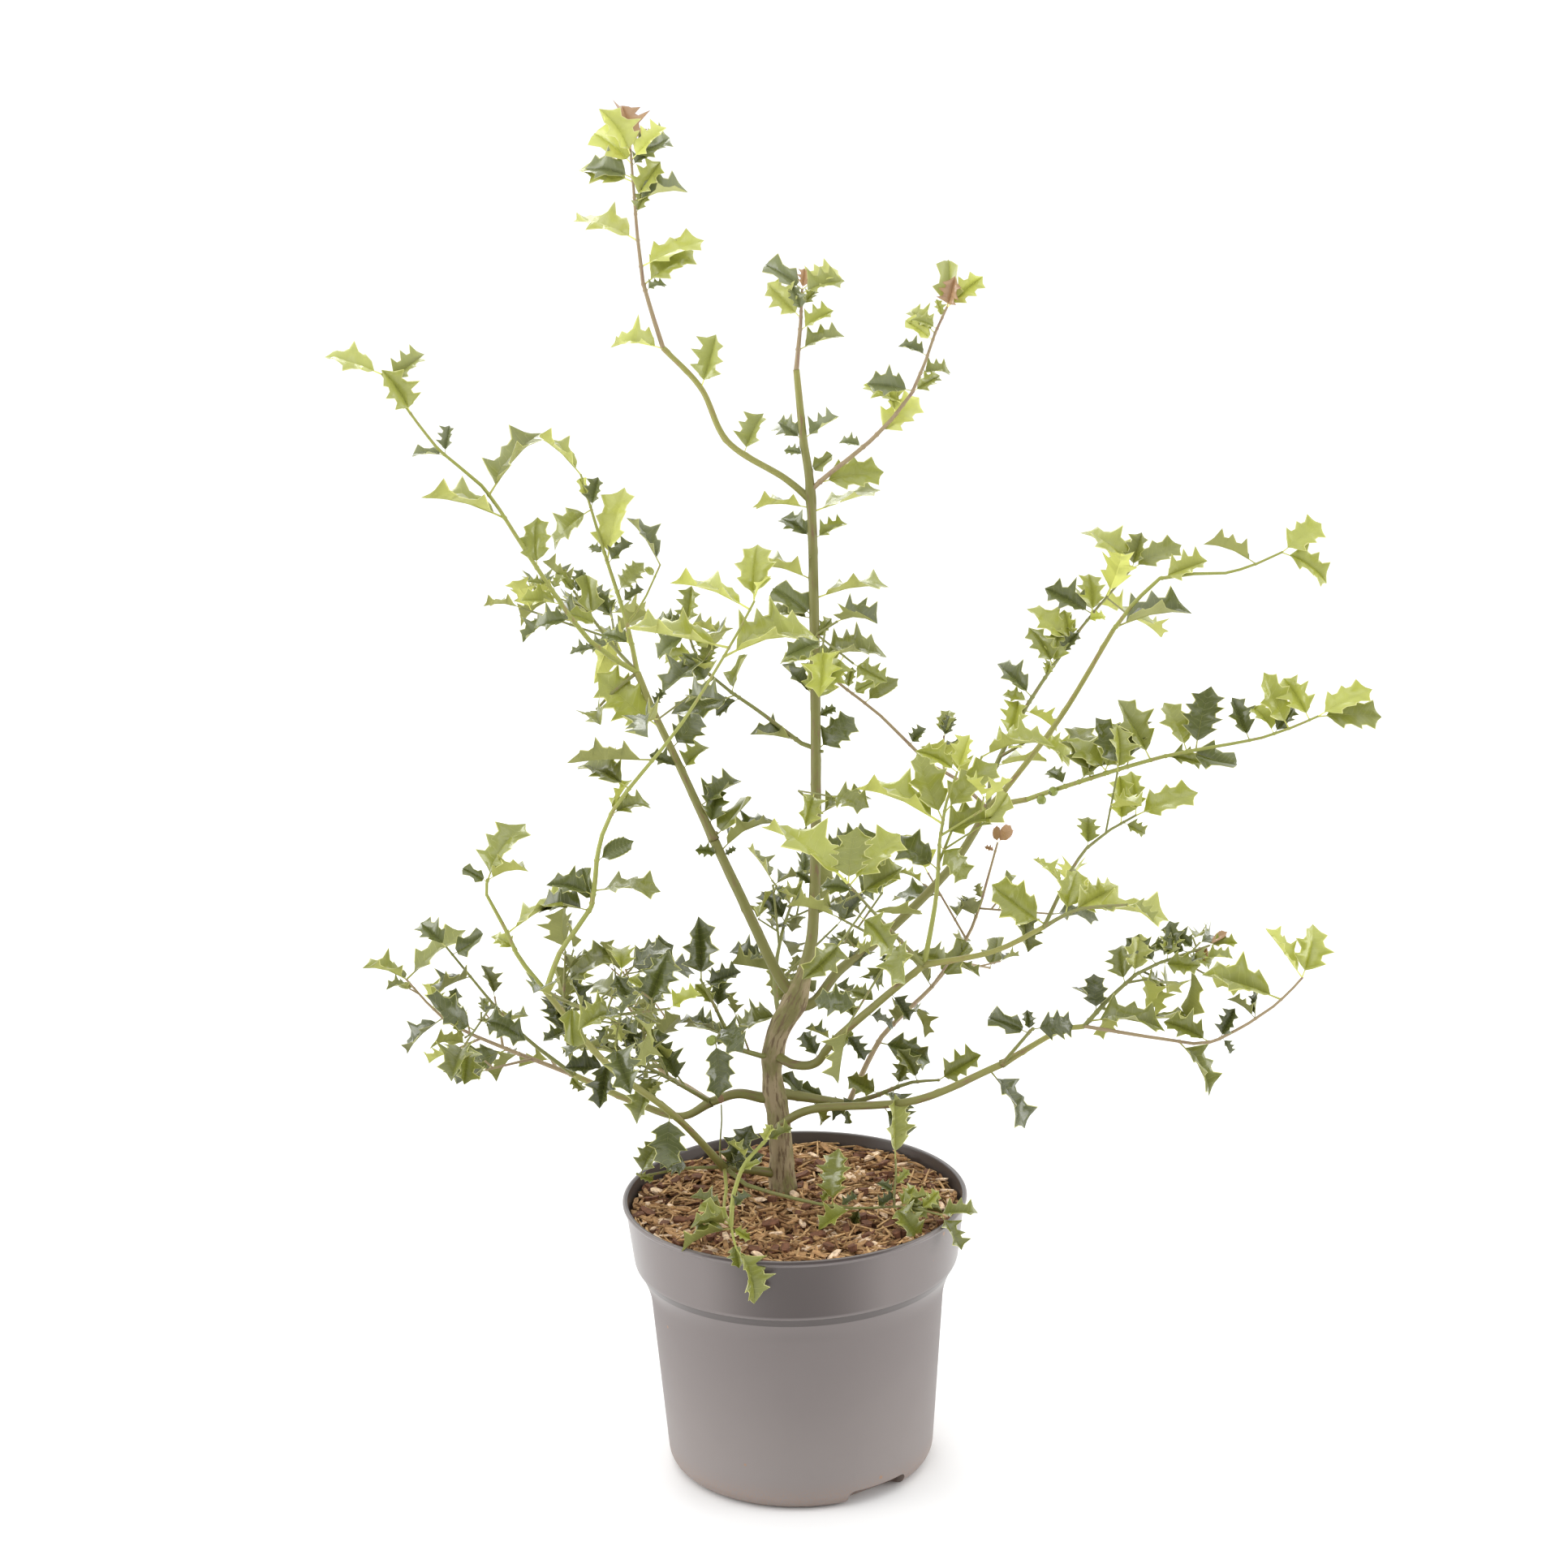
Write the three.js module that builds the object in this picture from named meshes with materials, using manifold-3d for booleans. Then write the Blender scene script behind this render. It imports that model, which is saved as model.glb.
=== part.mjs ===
// A young holly in a nursery pot. Millimetres, +Z up, origin at the middle of the pot's flat underside.
// The side that faces -Y is the front.
import * as THREE from "three";
import { mergeVertices } from "three/addons/utils/BufferGeometryUtils.js";
import Module from "manifold-3d";

const wasm = await Module();
wasm.setup();

// ---- driving sizes ----

const GAP = 0.3; // clearance kept between neighbouring solids

const pot = {
  height: 230,
  rimRadius: 140,
  lipHeight: 4.5,
  collarTopRadius: 138.2,
  collarFootRadius: 132,
  collarFootHeight: 178,
  shoulderRadius: 120.5, // where the chamfer under the collar meets the body
  shoulderHeight: 160,
  footRadius: 108.5,
  footRounding: 14,
  wall: 1.8,
  segments: 28,
};

// Two moulded recesses in the foot let water out from under the pot.
const recess = { width: 56, depth: 20, height: 14, bearings: [-55, 125] };

const mulch = { top: 218, dish: 3 }; // dish: how much the surface drops towards the wall

// Shares of a leaf's length. fold is how far its edges stand up from the midrib.
const leafShape = { width: 0.5, widest: 0.46, fold: 0.05 };

const berry = { radius: 4, sunk: 1.2 }; // sunk: how deep it sits in its shoot

const stemEnd = 0.9; // radius of a stem where it ends
const twigEnd = 0.8;
const thickestTwig = 1.5;
const tipInset = 0.5; // how far inside a shoot's end its last leaf is rooted

// How finely each kind of limb is made: the sides of its section and the spacing of its rings.
const fineness = {
  trunk: { sides: 8, spacing: 34 },
  bough: { sides: 5, spacing: 40 },
  stem: { sides: 3, spacing: 24 },
  twig: { sides: 3 },
};

const goldenAngle = THREE.MathUtils.degToRad(137.5);
const up = new THREE.Vector3(0, 0, 1);

// ---- trunk and boughs ----

// The trunk's middle line from the mulch to the foot of the leading shoot.
const trunk = {
  knots: [
    [-9, 42, 213],
    [-10, 41, 250],
    [-12, 39, 283],
    [-16, 39, 321],
    [-11, 38, 353],
    [1, 37, 376],
    [9, 36, 394],
    [17, 36, 425],
    [21, 37, 453],
    [25, 39, 541],
    [27, 43, 673],
    [27, 45, 790],
    [22, 47, 841],
    [18, 49, 894],
  ],
  // height and radius: the flare at the mulch, the stout lower trunk, the swollen fork, the slim leader
  radii: [
    [213, 13],
    [222, 11.5],
    [232, 10],
    [283, 9.3],
    [321, 8.2],
    [353, 9],
    [380, 10],
    [400, 7],
    [420, 5.2],
    [453, 4.5],
    [541, 4.2],
    [673, 4],
    [790, 3.6],
    [841, 3.1],
    [894, 2.5],
  ],
};

// Where one limb ends and others grow on from its tip.
const forks = {
  tallLeft: [-58, 77, 508],
  tallLeftTop: [-117, 115, 641],
  topLeft: [-86, 89, 908],
  right: [167, 110, 519],
  rightMiddle: [268, 89, 672],
  rightOuter: [198, 90, 532],
  rightFront: [105, -65, 444],
  rightFrontOuter: [196, -95, 482],
  rightLowBack: [46, 65, 281],
  rightLow: [166, -50, 355],
  rightLowOuter: [229, -70, 392],
  leftLow: [-67, 47, 293],
  leftLowOuter: [-180, 75, 309],
  leftFoot: [-57, 20, 246],
  leftFront: [-188, -85, 437],
};

// foot and end are radii. A bough is thickest at its foot.
const boughs = {
  tall_left_lower: {
    knots: [[7, 37, 386], [-8, 41, 402], [-39, 60, 468], forks.tallLeft],
    foot: 4.6,
    end: 3.9,
  },
  tall_left_upper: {
    knots: [forks.tallLeft, [-89, 97, 576], [-106, 107, 613], forks.tallLeftTop],
    foot: 3.6,
    end: 2.7,
  },
  top_left: {
    knots: [[27, 45, 792], [6, 53, 809], [-37, 67, 836], [-57, 79, 877], forks.topLeft],
    foot: 2.7,
    end: 2.1,
  },
  right_main: {
    knots: [[2, 37, 377], [20, 41, 380], [42, 55, 402], [79, 75, 424], [134, 95, 473], forks.right],
    foot: 4.2,
    end: 3.2,
  },
  right_middle: {
    knots: [forks.right, [189, 107, 546], [228, 99, 601], forks.rightMiddle],
    foot: 2.5,
    end: 1.9,
  },
  right_outer: {
    knots: [forks.right, [182, 101, 526], forks.rightOuter],
    foot: 2.5,
    end: 2.3,
  },
  right_front: {
    knots: [[-14, 37, 337], [2, 22, 333], [20, 14, 337], [36, -10, 365], [81, -45, 417], forks.rightFront],
    foot: 3.8,
    end: 2.7,
  },
  right_front_outer: {
    knots: [forks.rightFront, [157, -85, 460], forks.rightFrontOuter],
    foot: 2.4,
    end: 1.9,
  },
  right_low_back: {
    knots: [[-14, 39, 303], [16, 50, 293], forks.rightLowBack],
    foot: 4.5,
    end: 3.4,
  },
  right_low: {
    knots: [[-12, 38, 268], [-8, 20, 283], [20, 5, 301], [98, -25, 317], forks.rightLow],
    foot: 3.6,
    end: 2.8,
  },
  right_low_outer: {
    knots: [forks.rightLow, [208, -65, 386], forks.rightLowOuter],
    foot: 2.5,
    end: 2,
  },
  left_low: {
    knots: [[-13, 39, 299], [-24, 38, 299], [-45, 41, 302], forks.leftLow],
    foot: 4.3,
    end: 3.7,
  },
  left_low_outer: {
    knots: [forks.leftLow, [-93, 50, 280], [-131, 60, 290], forks.leftLowOuter],
    foot: 3.3,
    end: 2.5,
  },
  left_foot: {
    knots: [[-11, 42, 229], [-26, 34, 236], [-45, 26, 242], forks.leftFoot],
    foot: 3.8,
    end: 3.4,
  },
  left_front: {
    knots: [forks.leftFoot, [-94, -25, 309], [-145, -60, 368], forks.leftFront],
    foot: 3.1,
    end: 2.3,
  },
};

// ---- masses of leaves ----

// knots: the stem's line. foot: its radius there. bare: the share of it with no leaves. twigs: how many
// branch from it. reach: the length of the first of them. fork: degrees they open by. lift: how much they
// turn up. leaf: a leaf's length. gap: between leaves. fruit: shares of the stem that bear a berry.
const masses = {
  tall_left_tip: {
    knots: [forks.tallLeftTop, [-125, 131, 680], [-142, 152, 734], [-160, 178, 794]],
    foot: 2.3,
    bare: 0, twigs: 9, reach: 80, fork: 80, lift: -0.1, leaf: 46, gap: 21, seed: 668,
  },
  top_left_shoot: {
    knots: [
      forks.tallLeftTop, [-155, 107, 671], [-197, 95, 740],
      [-232, 85, 802], [-265, 77, 834], [-305, 65, 897],
    ],
    foot: 2.2,
    bare: 0.02, twigs: 1, reach: 30, fork: 50, lift: 0.2, leaf: 56, gap: 30, seed: 750,
  },
  left_back: {
    knots: [forks.tallLeftTop, [-141, 146, 661], [-170, 178, 697]],
    foot: 1.8,
    bare: 0.05, twigs: 5, reach: 110, fork: 40, lift: 0, leaf: 50, gap: 17, seed: 378,
  },
  left_side: {
    knots: [forks.tallLeftTop, [-138, 105, 627], [-160, 95, 605]],
    foot: 1.7,
    bare: 0.15, twigs: 2, reach: 45, fork: 55, lift: -0.2, leaf: 52, gap: 24, seed: 379,
  },
  left_spur: {
    knots: [forks.tallLeft, [-48, 80, 545], [-33, 85, 585]],
    foot: 1.8,
    bare: 0.2, twigs: 1, reach: 30, fork: 80, lift: 0.1, leaf: 48, gap: 24, seed: 206,
  },
  left_inner: {
    knots: [[26, 42, 592], [18, 42, 594], [-18, 53, 621], [-60, 61, 653], [-75, 65, 690]],
    foot: 2,
    bare: 0.65, twigs: 8, reach: 75, fork: 70, lift: -0.1, leaf: 52, gap: 15, seed: 133,
  },
  crown_top: {
    knots: [forks.topLeft, [-100, 93, 959], [-103, 95, 993], [-106, 95, 1062]],
    foot: 2,
    bare: 0, twigs: 2, reach: 65, fork: 45, lift: 0.3, leaf: 50, gap: 26, seed: 893,
  },
  top_right: {
    knots: [[26, 45, 799], [40, 42, 812], [74, 30, 840], [106, 19, 878], [124, 9, 925], [133, 4, 945]],
    foot: 2,
    bare: 0.3, twigs: 2, reach: 30, fork: 40, lift: 0.3, leaf: 38, gap: 20, seed: 996,
  },
  leader_tip: {
    knots: [[18, 49, 894], [22, 50, 928], [24, 50, 956]],
    foot: 2.1,
    bare: 0.15, twigs: 5, reach: 30, fork: 40, lift: 0.3, leaf: 42, gap: 22, seed: 251,
  },
  thin_back: {
    knots: [
      forks.right, [140, 106, 548], [120, 101, 560],
      [81, 105, 601], [32, 111, 642], [-10, 125, 692],
    ],
    foot: 1.6,
    bare: 0.55, twigs: 1, reach: 40, fork: 40, lift: 0, leaf: 44, gap: 30, seed: 41,
  },
  right_upper: {
    knots: [forks.right, [171, 128, 541], [204, 160, 594], [253, 200, 650], [299, 235, 692]],
    foot: 2.3,
    bare: 0.12, twigs: 7, reach: 60, fork: 75, lift: 0.2, leaf: 56, gap: 18, seed: 176,
  },
  right_middle_tip: {
    knots: [forks.rightMiddle, [304, 80, 715], [358, 65, 721], [398, 55, 739]],
    foot: 1.8,
    bare: 0.1, twigs: 3, reach: 60, fork: 40, lift: 0.3, leaf: 48, gap: 34, seed: 445,
  },
  right_outer_tip: {
    knots: [forks.rightOuter, [225, 70, 547], [301, 30, 581], [376, -5, 604], [415, -25, 625]],
    foot: 2.1,
    bare: 0.15, twigs: 6, reach: 45, fork: 55, lift: 0.3, leaf: 54, gap: 20, seed: 186,
    fruit: [0.06, 0.12],
  },
  right_front_tip: {
    knots: [forks.rightFrontOuter, [220, -115, 502], [255, -142, 513]],
    foot: 1.7,
    bare: 0, twigs: 4, reach: 90, fork: 70, lift: -0.1, leaf: 40, gap: 30, seed: 587,
  },
  right_front_upper: {
    knots: [forks.rightFrontOuter, [230, -60, 532], [273, -35, 552]],
    foot: 1.7,
    bare: 0.2, twigs: 2, reach: 65, fork: 55, lift: -0.2, leaf: 40, gap: 24, seed: 995,
  },
  right_inner_shoot: {
    knots: [forks.rightFront, [115, -70, 499], [118, -75, 547], [123, -77, 577], [132, -80, 603]],
    foot: 2.3,
    bare: 0.3, twigs: 9, reach: 110, fork: 50, lift: 0.3, leaf: 58, gap: 24, seed: 849,
  },
  rosette: {
    knots: [forks.rightFront, [72, -98, 491], [46, -138, 534]],
    foot: 2,
    bare: 0.05, twigs: 6, reach: 70, fork: 60, lift: 0.2, leaf: 56, gap: 20, seed: 30,
  },
  right_centre: {
    knots: [forks.rightFront, [75, -60, 462], [40, -45, 478]],
    foot: 1.8,
    bare: 0.15, twigs: 7, reach: 70, fork: 80, lift: 0, leaf: 52, gap: 20, seed: 318,
  },
  brown_shoot: {
    knots: [forks.rightLowBack, [77, 92, 332], [116, 120, 359], [154, 150, 401], [179, 172, 472]],
    foot: 2.5,
    bare: 0.25, twigs: 7, reach: 95, fork: 80, lift: 0.3, leaf: 46, gap: 24, seed: 343,
  },
  right_low_back_tip: {
    knots: [forks.rightLowBack, [70, 55, 292], [95, 40, 308], [128, 20, 317]],
    foot: 2.4,
    bare: 0, twigs: 6, reach: 55, fork: 40, lift: 0.3, leaf: 46, gap: 30, seed: 17,
  },
  right_low_middle: {
    knots: [forks.rightLow, [197, -105, 409], [232, -135, 385]],
    foot: 1.6,
    bare: 0.15, twigs: 1, reach: 25, fork: 50, lift: 0, leaf: 42, gap: 24, seed: 264,
  },
  right_low_upper: {
    knots: [forks.rightLowOuter, [272, -45, 425], [333, -20, 439]],
    foot: 1.9,
    bare: 0.1, twigs: 7, reach: 45, fork: 45, lift: -0.2, leaf: 48, gap: 20, seed: 637,
  },
  right_low_tip: {
    knots: [forks.rightLowOuter, [292, -95, 388], [325, -110, 391], [367, -132, 426], [386, -148, 454]],
    foot: 1.6,
    bare: 0.4, twigs: 1, reach: 35, fork: 65, lift: -0.1, leaf: 46, gap: 40, seed: 957,
  },
  left_low_back: {
    knots: [forks.leftLow, [-90, 82, 296], [-116, 130, 298], [-140, 178, 369]],
    foot: 2.6,
    bare: 0.4, twigs: 4, reach: 50, fork: 45, lift: 0.3, leaf: 44, gap: 24, seed: 226,
  },
  left_low_tip: {
    knots: [forks.leftLowOuter, [-244, 85, 334], [-286, 90, 355], [-317, 95, 390]],
    foot: 2.2,
    bare: 0, twigs: 6, reach: 55, fork: 65, lift: 0.3, leaf: 46, gap: 20, seed: 965,
  },
  left_low_middle: {
    knots: [forks.leftLowOuter, [-185, 55, 365], [-180, 35, 430]],
    foot: 1.9,
    bare: 0, twigs: 6, reach: 80, fork: 65, lift: 0.2, leaf: 52, gap: 27, seed: 443,
  },
  left_low_upper: {
    knots: [forks.leftLowOuter, [-225, 40, 365], [-275, 25, 440]],
    foot: 1.9,
    bare: 0.05, twigs: 4, reach: 135, fork: 70, lift: 0, leaf: 48, gap: 20, seed: 123,
  },
  left_low_inner: {
    knots: [forks.leftLow, [-109, 5, 336], [-149, -25, 369]],
    foot: 2,
    bare: 0.25, twigs: 6, reach: 60, fork: 40, lift: 0.3, leaf: 46, gap: 22, seed: 476,
  },
  left_front_inner: {
    knots: [forks.leftFront, [-144, -115, 428], [-89, -155, 445]],
    foot: 1.8,
    bare: 0, twigs: 7, reach: 50, fork: 75, lift: -0.2, leaf: 48, gap: 18, seed: 134,
  },
  left_front_tip: {
    knots: [forks.leftFront, [-207, -90, 466], [-216, -93, 491], [-230, -95, 522], [-217, -95, 559]],
    foot: 2.1,
    bare: 0, twigs: 4, reach: 45, fork: 80, lift: 0, leaf: 41, gap: 28, seed: 62,
  },
  left_arch: {
    knots: [
      forks.leftFront, [-174, -94, 474], [-149, -103, 510], [-143, -111, 549],
      [-129, -119, 590], [-74, -136, 661], [-31, -146, 730], [-18, -148, 754],
    ],
    foot: 2.3,
    bare: 0.5, twigs: 4, reach: 35, fork: 70, lift: 0.2, leaf: 66, gap: 42, seed: 978,
  },
  centre_left: {
    knots: [[-14, 38, 337], [-24, 30, 338], [-43, 15, 350], [-60, -10, 396], [-72, -25, 428]],
    foot: 2.4,
    bare: 0.2, twigs: 6, reach: 60, fork: 60, lift: -0.1, leaf: 52, gap: 18, seed: 561,
    fruit: [0.48, 0.56],
  },
  pot_right: {
    knots: [forks.leftFoot, [-39, 5, 236], [26, -38, 234], [62, -45, 234], [84, -48, 236]],
    foot: 2,
    bare: 0.65, twigs: 2, reach: 55, fork: 70, lift: 0.3, leaf: 42, gap: 22, seed: 686,
  },
  pot_left: {
    knots: [forks.leftFoot, [-91, 5, 252], [-124, -5, 250], [-134, 0, 255]],
    foot: 1.6,
    bare: 0.15, twigs: 1, reach: 20, fork: 65, lift: 0.3, leaf: 44, gap: 32, seed: 51,
  },
  pot_front: {
    knots: [forks.leftFoot, [-55, -15, 242], [-57, -50, 240], [-50, -105, 245]],
    foot: 1.6,
    bare: 0.3, twigs: 1, reach: 45, fork: 55, lift: 0.2, leaf: 44, gap: 26, seed: 782,
  },
  leader_foot: {
    knots: [[21, 37, 456], [35, 33, 462], [56, 26, 474]],
    foot: 1.3,
    bare: 0.3, twigs: 1, reach: 40, fork: 45, lift: -0.1, leaf: 42, gap: 24, seed: 967,
  },
  leader_low: {
    knots: [[25, 39, 543], [20, 32, 552], [5, 20, 570]],
    foot: 1.3,
    bare: 0.3, twigs: 4, reach: 45, fork: 75, lift: -0.2, leaf: 42, gap: 24, seed: 953,
  },
  leader_fan: {
    knots: [[26, 41, 590], [45, 32, 592], [90, 22, 598]],
    foot: 1.4,
    bare: 0.3, twigs: 1, reach: 25, fork: 50, lift: 0.1, leaf: 48, gap: 32, seed: 181,
  },
  leader_middle: {
    knots: [[27, 43, 680], [30, 34, 688], [45, 20, 700]],
    foot: 1.3,
    bare: 0.15, twigs: 4, reach: 40, fork: 70, lift: -0.2, leaf: 42, gap: 18, seed: 549,
  },
  leader_upper: {
    knots: [[27, 44, 745], [20, 36, 753], [5, 28, 775]],
    foot: 1.3,
    bare: 0.1, twigs: 4, reach: 60, fork: 60, lift: -0.2, leaf: 52, gap: 32, seed: 953,
  },
  leader_high: {
    knots: [[23, 46, 836], [10, 48, 845], [-10, 50, 862]],
    foot: 1.3,
    bare: 0.15, twigs: 2, reach: 40, fork: 70, lift: -0.1, leaf: 36, gap: 20, seed: 45,
  },
  back_low: {
    knots: [[-8, 40, 362], [-12, 82, 384], [-4, 132, 414], [12, 178, 440]],
    foot: 2.2,
    bare: 0.2, twigs: 5, reach: 70, fork: 50, lift: 0.1, leaf: 46, gap: 18, seed: 412,
  },
};

// ---- growing rule ----

// Numbers from 0 to 1 that are the same each time for the same seed.
function seeded(seed) {
  let state = seed >>> 0;
  return () => {
    state = (state + 0x6d2b79f5) >>> 0;
    let t = Math.imul(state ^ (state >>> 15), state | 1);
    t ^= t + Math.imul(t ^ (t >>> 7), t | 61);
    return ((t ^ (t >>> 14)) >>> 0) / 4294967296;
  };
}

// A smooth line through the knots, with even steps between each two.
function smoothPath(knots, spacing) {
  const k = knots.map((p) => new THREE.Vector3(...p));
  const before = k[0].clone().multiplyScalar(2).sub(k[1]);
  const after = k.at(-1).clone().multiplyScalar(2).sub(k.at(-2));
  const all = [before, ...k, after];
  const points = [k[0]];
  for (let i = 1; i < all.length - 2; i++) {
    const [p0, p1, p2, p3] = all.slice(i - 1, i + 3);
    const steps = Math.max(1, Math.floor(p1.distanceTo(p2) / spacing + 0.5));
    for (let j = 1; j <= steps; j++) {
      const u = j / steps;
      const blend = (a, b, c, d) =>
        0.5 *
        (2 * b + (c - a) * u + (2 * a - 5 * b + 4 * c - d) * u * u + (3 * b - a - 3 * c + d) * u * u * u);
      points.push(
        new THREE.Vector3(
          blend(p0.x, p1.x, p2.x, p3.x),
          blend(p0.y, p1.y, p2.y, p3.y),
          blend(p0.z, p1.z, p2.z, p3.z),
        ),
      );
    }
  }
  return points;
}

// A limb or twig: a line of points whose radius falls evenly from its foot to its end.
class Shoot {
  constructor(points, footRadius, endRadius) {
    this.points = points;
    this.footRadius = footRadius;
    this.endRadius = endRadius;
    this.reached = [0];
    for (let i = 1; i < points.length; i++)
      this.reached.push(this.reached[i - 1] + points[i].distanceTo(points[i - 1]));
    this.length = this.reached.at(-1);
  }
  // The point and the direction at a distance along it.
  at(distance) {
    let i = 0;
    while (i < this.points.length - 2 && this.reached[i + 1] < distance) i++;
    const [a, b] = [this.points[i], this.points[i + 1]];
    const share = (distance - this.reached[i]) / (this.reached[i + 1] - this.reached[i]);
    return { point: a.clone().lerp(b, share), along: b.clone().sub(a).normalize() };
  }
  radius(distance) {
    return this.footRadius + ((this.endRadius - this.footRadius) * distance) / this.length;
  }
  // Points spread evenly along it, for the tests of what it is near to.
  samples(spacing) {
    const count = Math.max(4, Math.floor(this.length / spacing) + 1);
    const inset = 0.001;
    return Array.from(
      { length: count },
      (_, i) => this.at(inset + ((this.length - 2 * inset) * i) / (count - 1)).point,
    );
  }
}

// Two directions square to a given one.
function sideways(along) {
  const reference = Math.abs(along.z) < 0.9 ? up : new THREE.Vector3(1, 0, 0);
  const first = new THREE.Vector3().crossVectors(reference, along).normalize();
  return [first, new THREE.Vector3().crossVectors(along, first)];
}

// The direction at an opening angle from a shoot, turned round it.
function branchDirection(along, turn, opening, lift) {
  const [first, second] = sideways(along);
  const side = first.multiplyScalar(Math.cos(turn)).addScaledVector(second, Math.sin(turn));
  return along
    .clone()
    .multiplyScalar(Math.cos(opening))
    .addScaledVector(side, Math.sin(opening))
    .addScaledVector(up, lift)
    .normalize();
}

// Twigs: how near the stem's end the last one is, how much shorter it is than the first, how thick they
// are beside the stem, and how far place, opening and length vary.
const branching = { last: 0.92, shortening: 0.45, thickness: 0.75, place: 0.2, opening: 0.2, length: 0.3 };

// Leaves: how far they open from a shoot in degrees, with the one at its tip more upright, all of them more
// so towards the tip; how their faces turn up, along the shoot and at random; how their sizes vary.
const leafing = {
  opening: 76,
  tipOpening: 34,
  closing: 20,
  openingVaries: 12,
  lift: 0.05,
  facing: { up: 0.8, along: 0.45, varies: 0.55 },
  size: 0.97,
  sizeVaries: 0.25,
  firstSize: 0.85,
  firstGap: 0.3,
};

// A number drawn evenly from a spread to either side of a middle one.
function around(middle, spread, draw) {
  return middle + spread * (2 * draw() - 1);
}

// The stem of a mass and the twigs that branch from it.
function growTwigs(mass) {
  const draw = seeded(mass.seed);
  const stem = new Shoot(smoothPath(mass.knots, fineness.stem.spacing), mass.foot, stemEnd);
  const shoots = [stem];
  let turn = draw() * 2 * Math.PI;
  for (let i = 0; i < mass.twigs; i++) {
    const share = (i + around(0.5, branching.place, draw)) / mass.twigs;
    const distance = stem.length * (mass.bare + (branching.last - mass.bare) * share);
    const { point, along } = stem.at(distance);
    turn += goldenAngle;
    const opening = THREE.MathUtils.degToRad(mass.fork) * around(1, branching.opening, draw);
    const direction = branchDirection(along, turn, opening, mass.lift);
    const length = mass.reach * (1 - branching.shortening * share) * around(1, branching.length, draw);
    const tip = point.clone().addScaledVector(direction, length);
    const thickness = Math.min(stem.radius(distance) * branching.thickness, thickestTwig);
    shoots.push(new Shoot([point, tip], thickness, twigEnd));
  }
  return shoots;
}

// The leaves that a mass would bear, each with its own root, directions and length.
function growLeaves(mass, shoots) {
  const draw = seeded(mass.seed + 500);
  const leaves = [];
  shoots.forEach((shoot, index) => {
    const start = index ? leafing.firstGap * mass.gap : shoot.length * mass.bare;
    const count = Math.floor((shoot.length - start) / mass.gap);
    let turn = draw() * 2 * Math.PI;
    for (let i = 0; i <= count; i++) {
      const last = i === count;
      const wanted = last ? shoot.length : start + mass.gap * (i + 0.5);
      const distance = Math.min(wanted, shoot.length - tipInset);
      const { point, along } = shoot.at(distance);
      turn += goldenAngle;
      const closing = (leafing.closing * distance) / shoot.length;
      const base = (last ? leafing.tipOpening : leafing.opening) - closing;
      const opening = THREE.MathUtils.degToRad(around(base, leafing.openingVaries, draw));
      const direction = branchDirection(along, turn, opening, leafing.lift);
      const { facing } = leafing;
      const face = new THREE.Vector3(
        around(0, facing.varies, draw),
        around(0, facing.varies, draw),
        around(0, facing.varies, draw),
      );
      face.addScaledVector(up, facing.up).addScaledVector(along, facing.along);
      face.addScaledVector(direction, -face.dot(direction)).normalize();
      const across = new THREE.Vector3().crossVectors(direction, face);
      const size = around(leafing.size, leafing.sizeVaries, draw) * (i ? 1 : leafing.firstSize);
      const length = mass.leaf * size;
      leaves.push({ root: point, direction, across, face, length });
    }
  });
  return leaves;
}

// A point on a leaf, with all three given as shares of its length.
function onLeaf(leaf, forward, aside, raised) {
  return leaf.root
    .clone()
    .addScaledVector(leaf.direction, leaf.length * forward)
    .addScaledVector(leaf.across, leaf.length * aside)
    .addScaledVector(leaf.face, leaf.length * raised);
}

// ---- solids ----

// A closed geometry as a solid that can be joined and cut.
function solidOf(geometry) {
  const bare = geometry.index ? geometry.toNonIndexed() : geometry.clone();
  bare.deleteAttribute("normal");
  bare.deleteAttribute("uv");
  const merged = mergeVertices(bare, 1e-4);
  return new wasm.Manifold(
    new wasm.Mesh({
      numProp: 3,
      vertProperties: new Float32Array(merged.attributes.position.array),
      triVerts: new Uint32Array(merged.index.array),
    }),
  );
}

function geometryOf(solid) {
  const mesh = solid.getMesh();
  const positions = new Float32Array(mesh.numVert * 3);
  for (let i = 0; i < mesh.numVert; i++)
    positions.set(mesh.vertProperties.subarray(i * mesh.numProp, i * mesh.numProp + 3), i * 3);
  const geometry = new THREE.BufferGeometry();
  geometry.setAttribute("position", new THREE.BufferAttribute(positions, 3));
  geometry.setIndex(new THREE.BufferAttribute(mesh.triVerts, 1));
  geometry.computeVertexNormals();
  return geometry;
}

// A closed solid from corners and faces.
function solidFrom(corners, faces) {
  const geometry = new THREE.BufferGeometry().setFromPoints(corners);
  geometry.setIndex(faces.flat());
  return solidOf(geometry);
}

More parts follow.
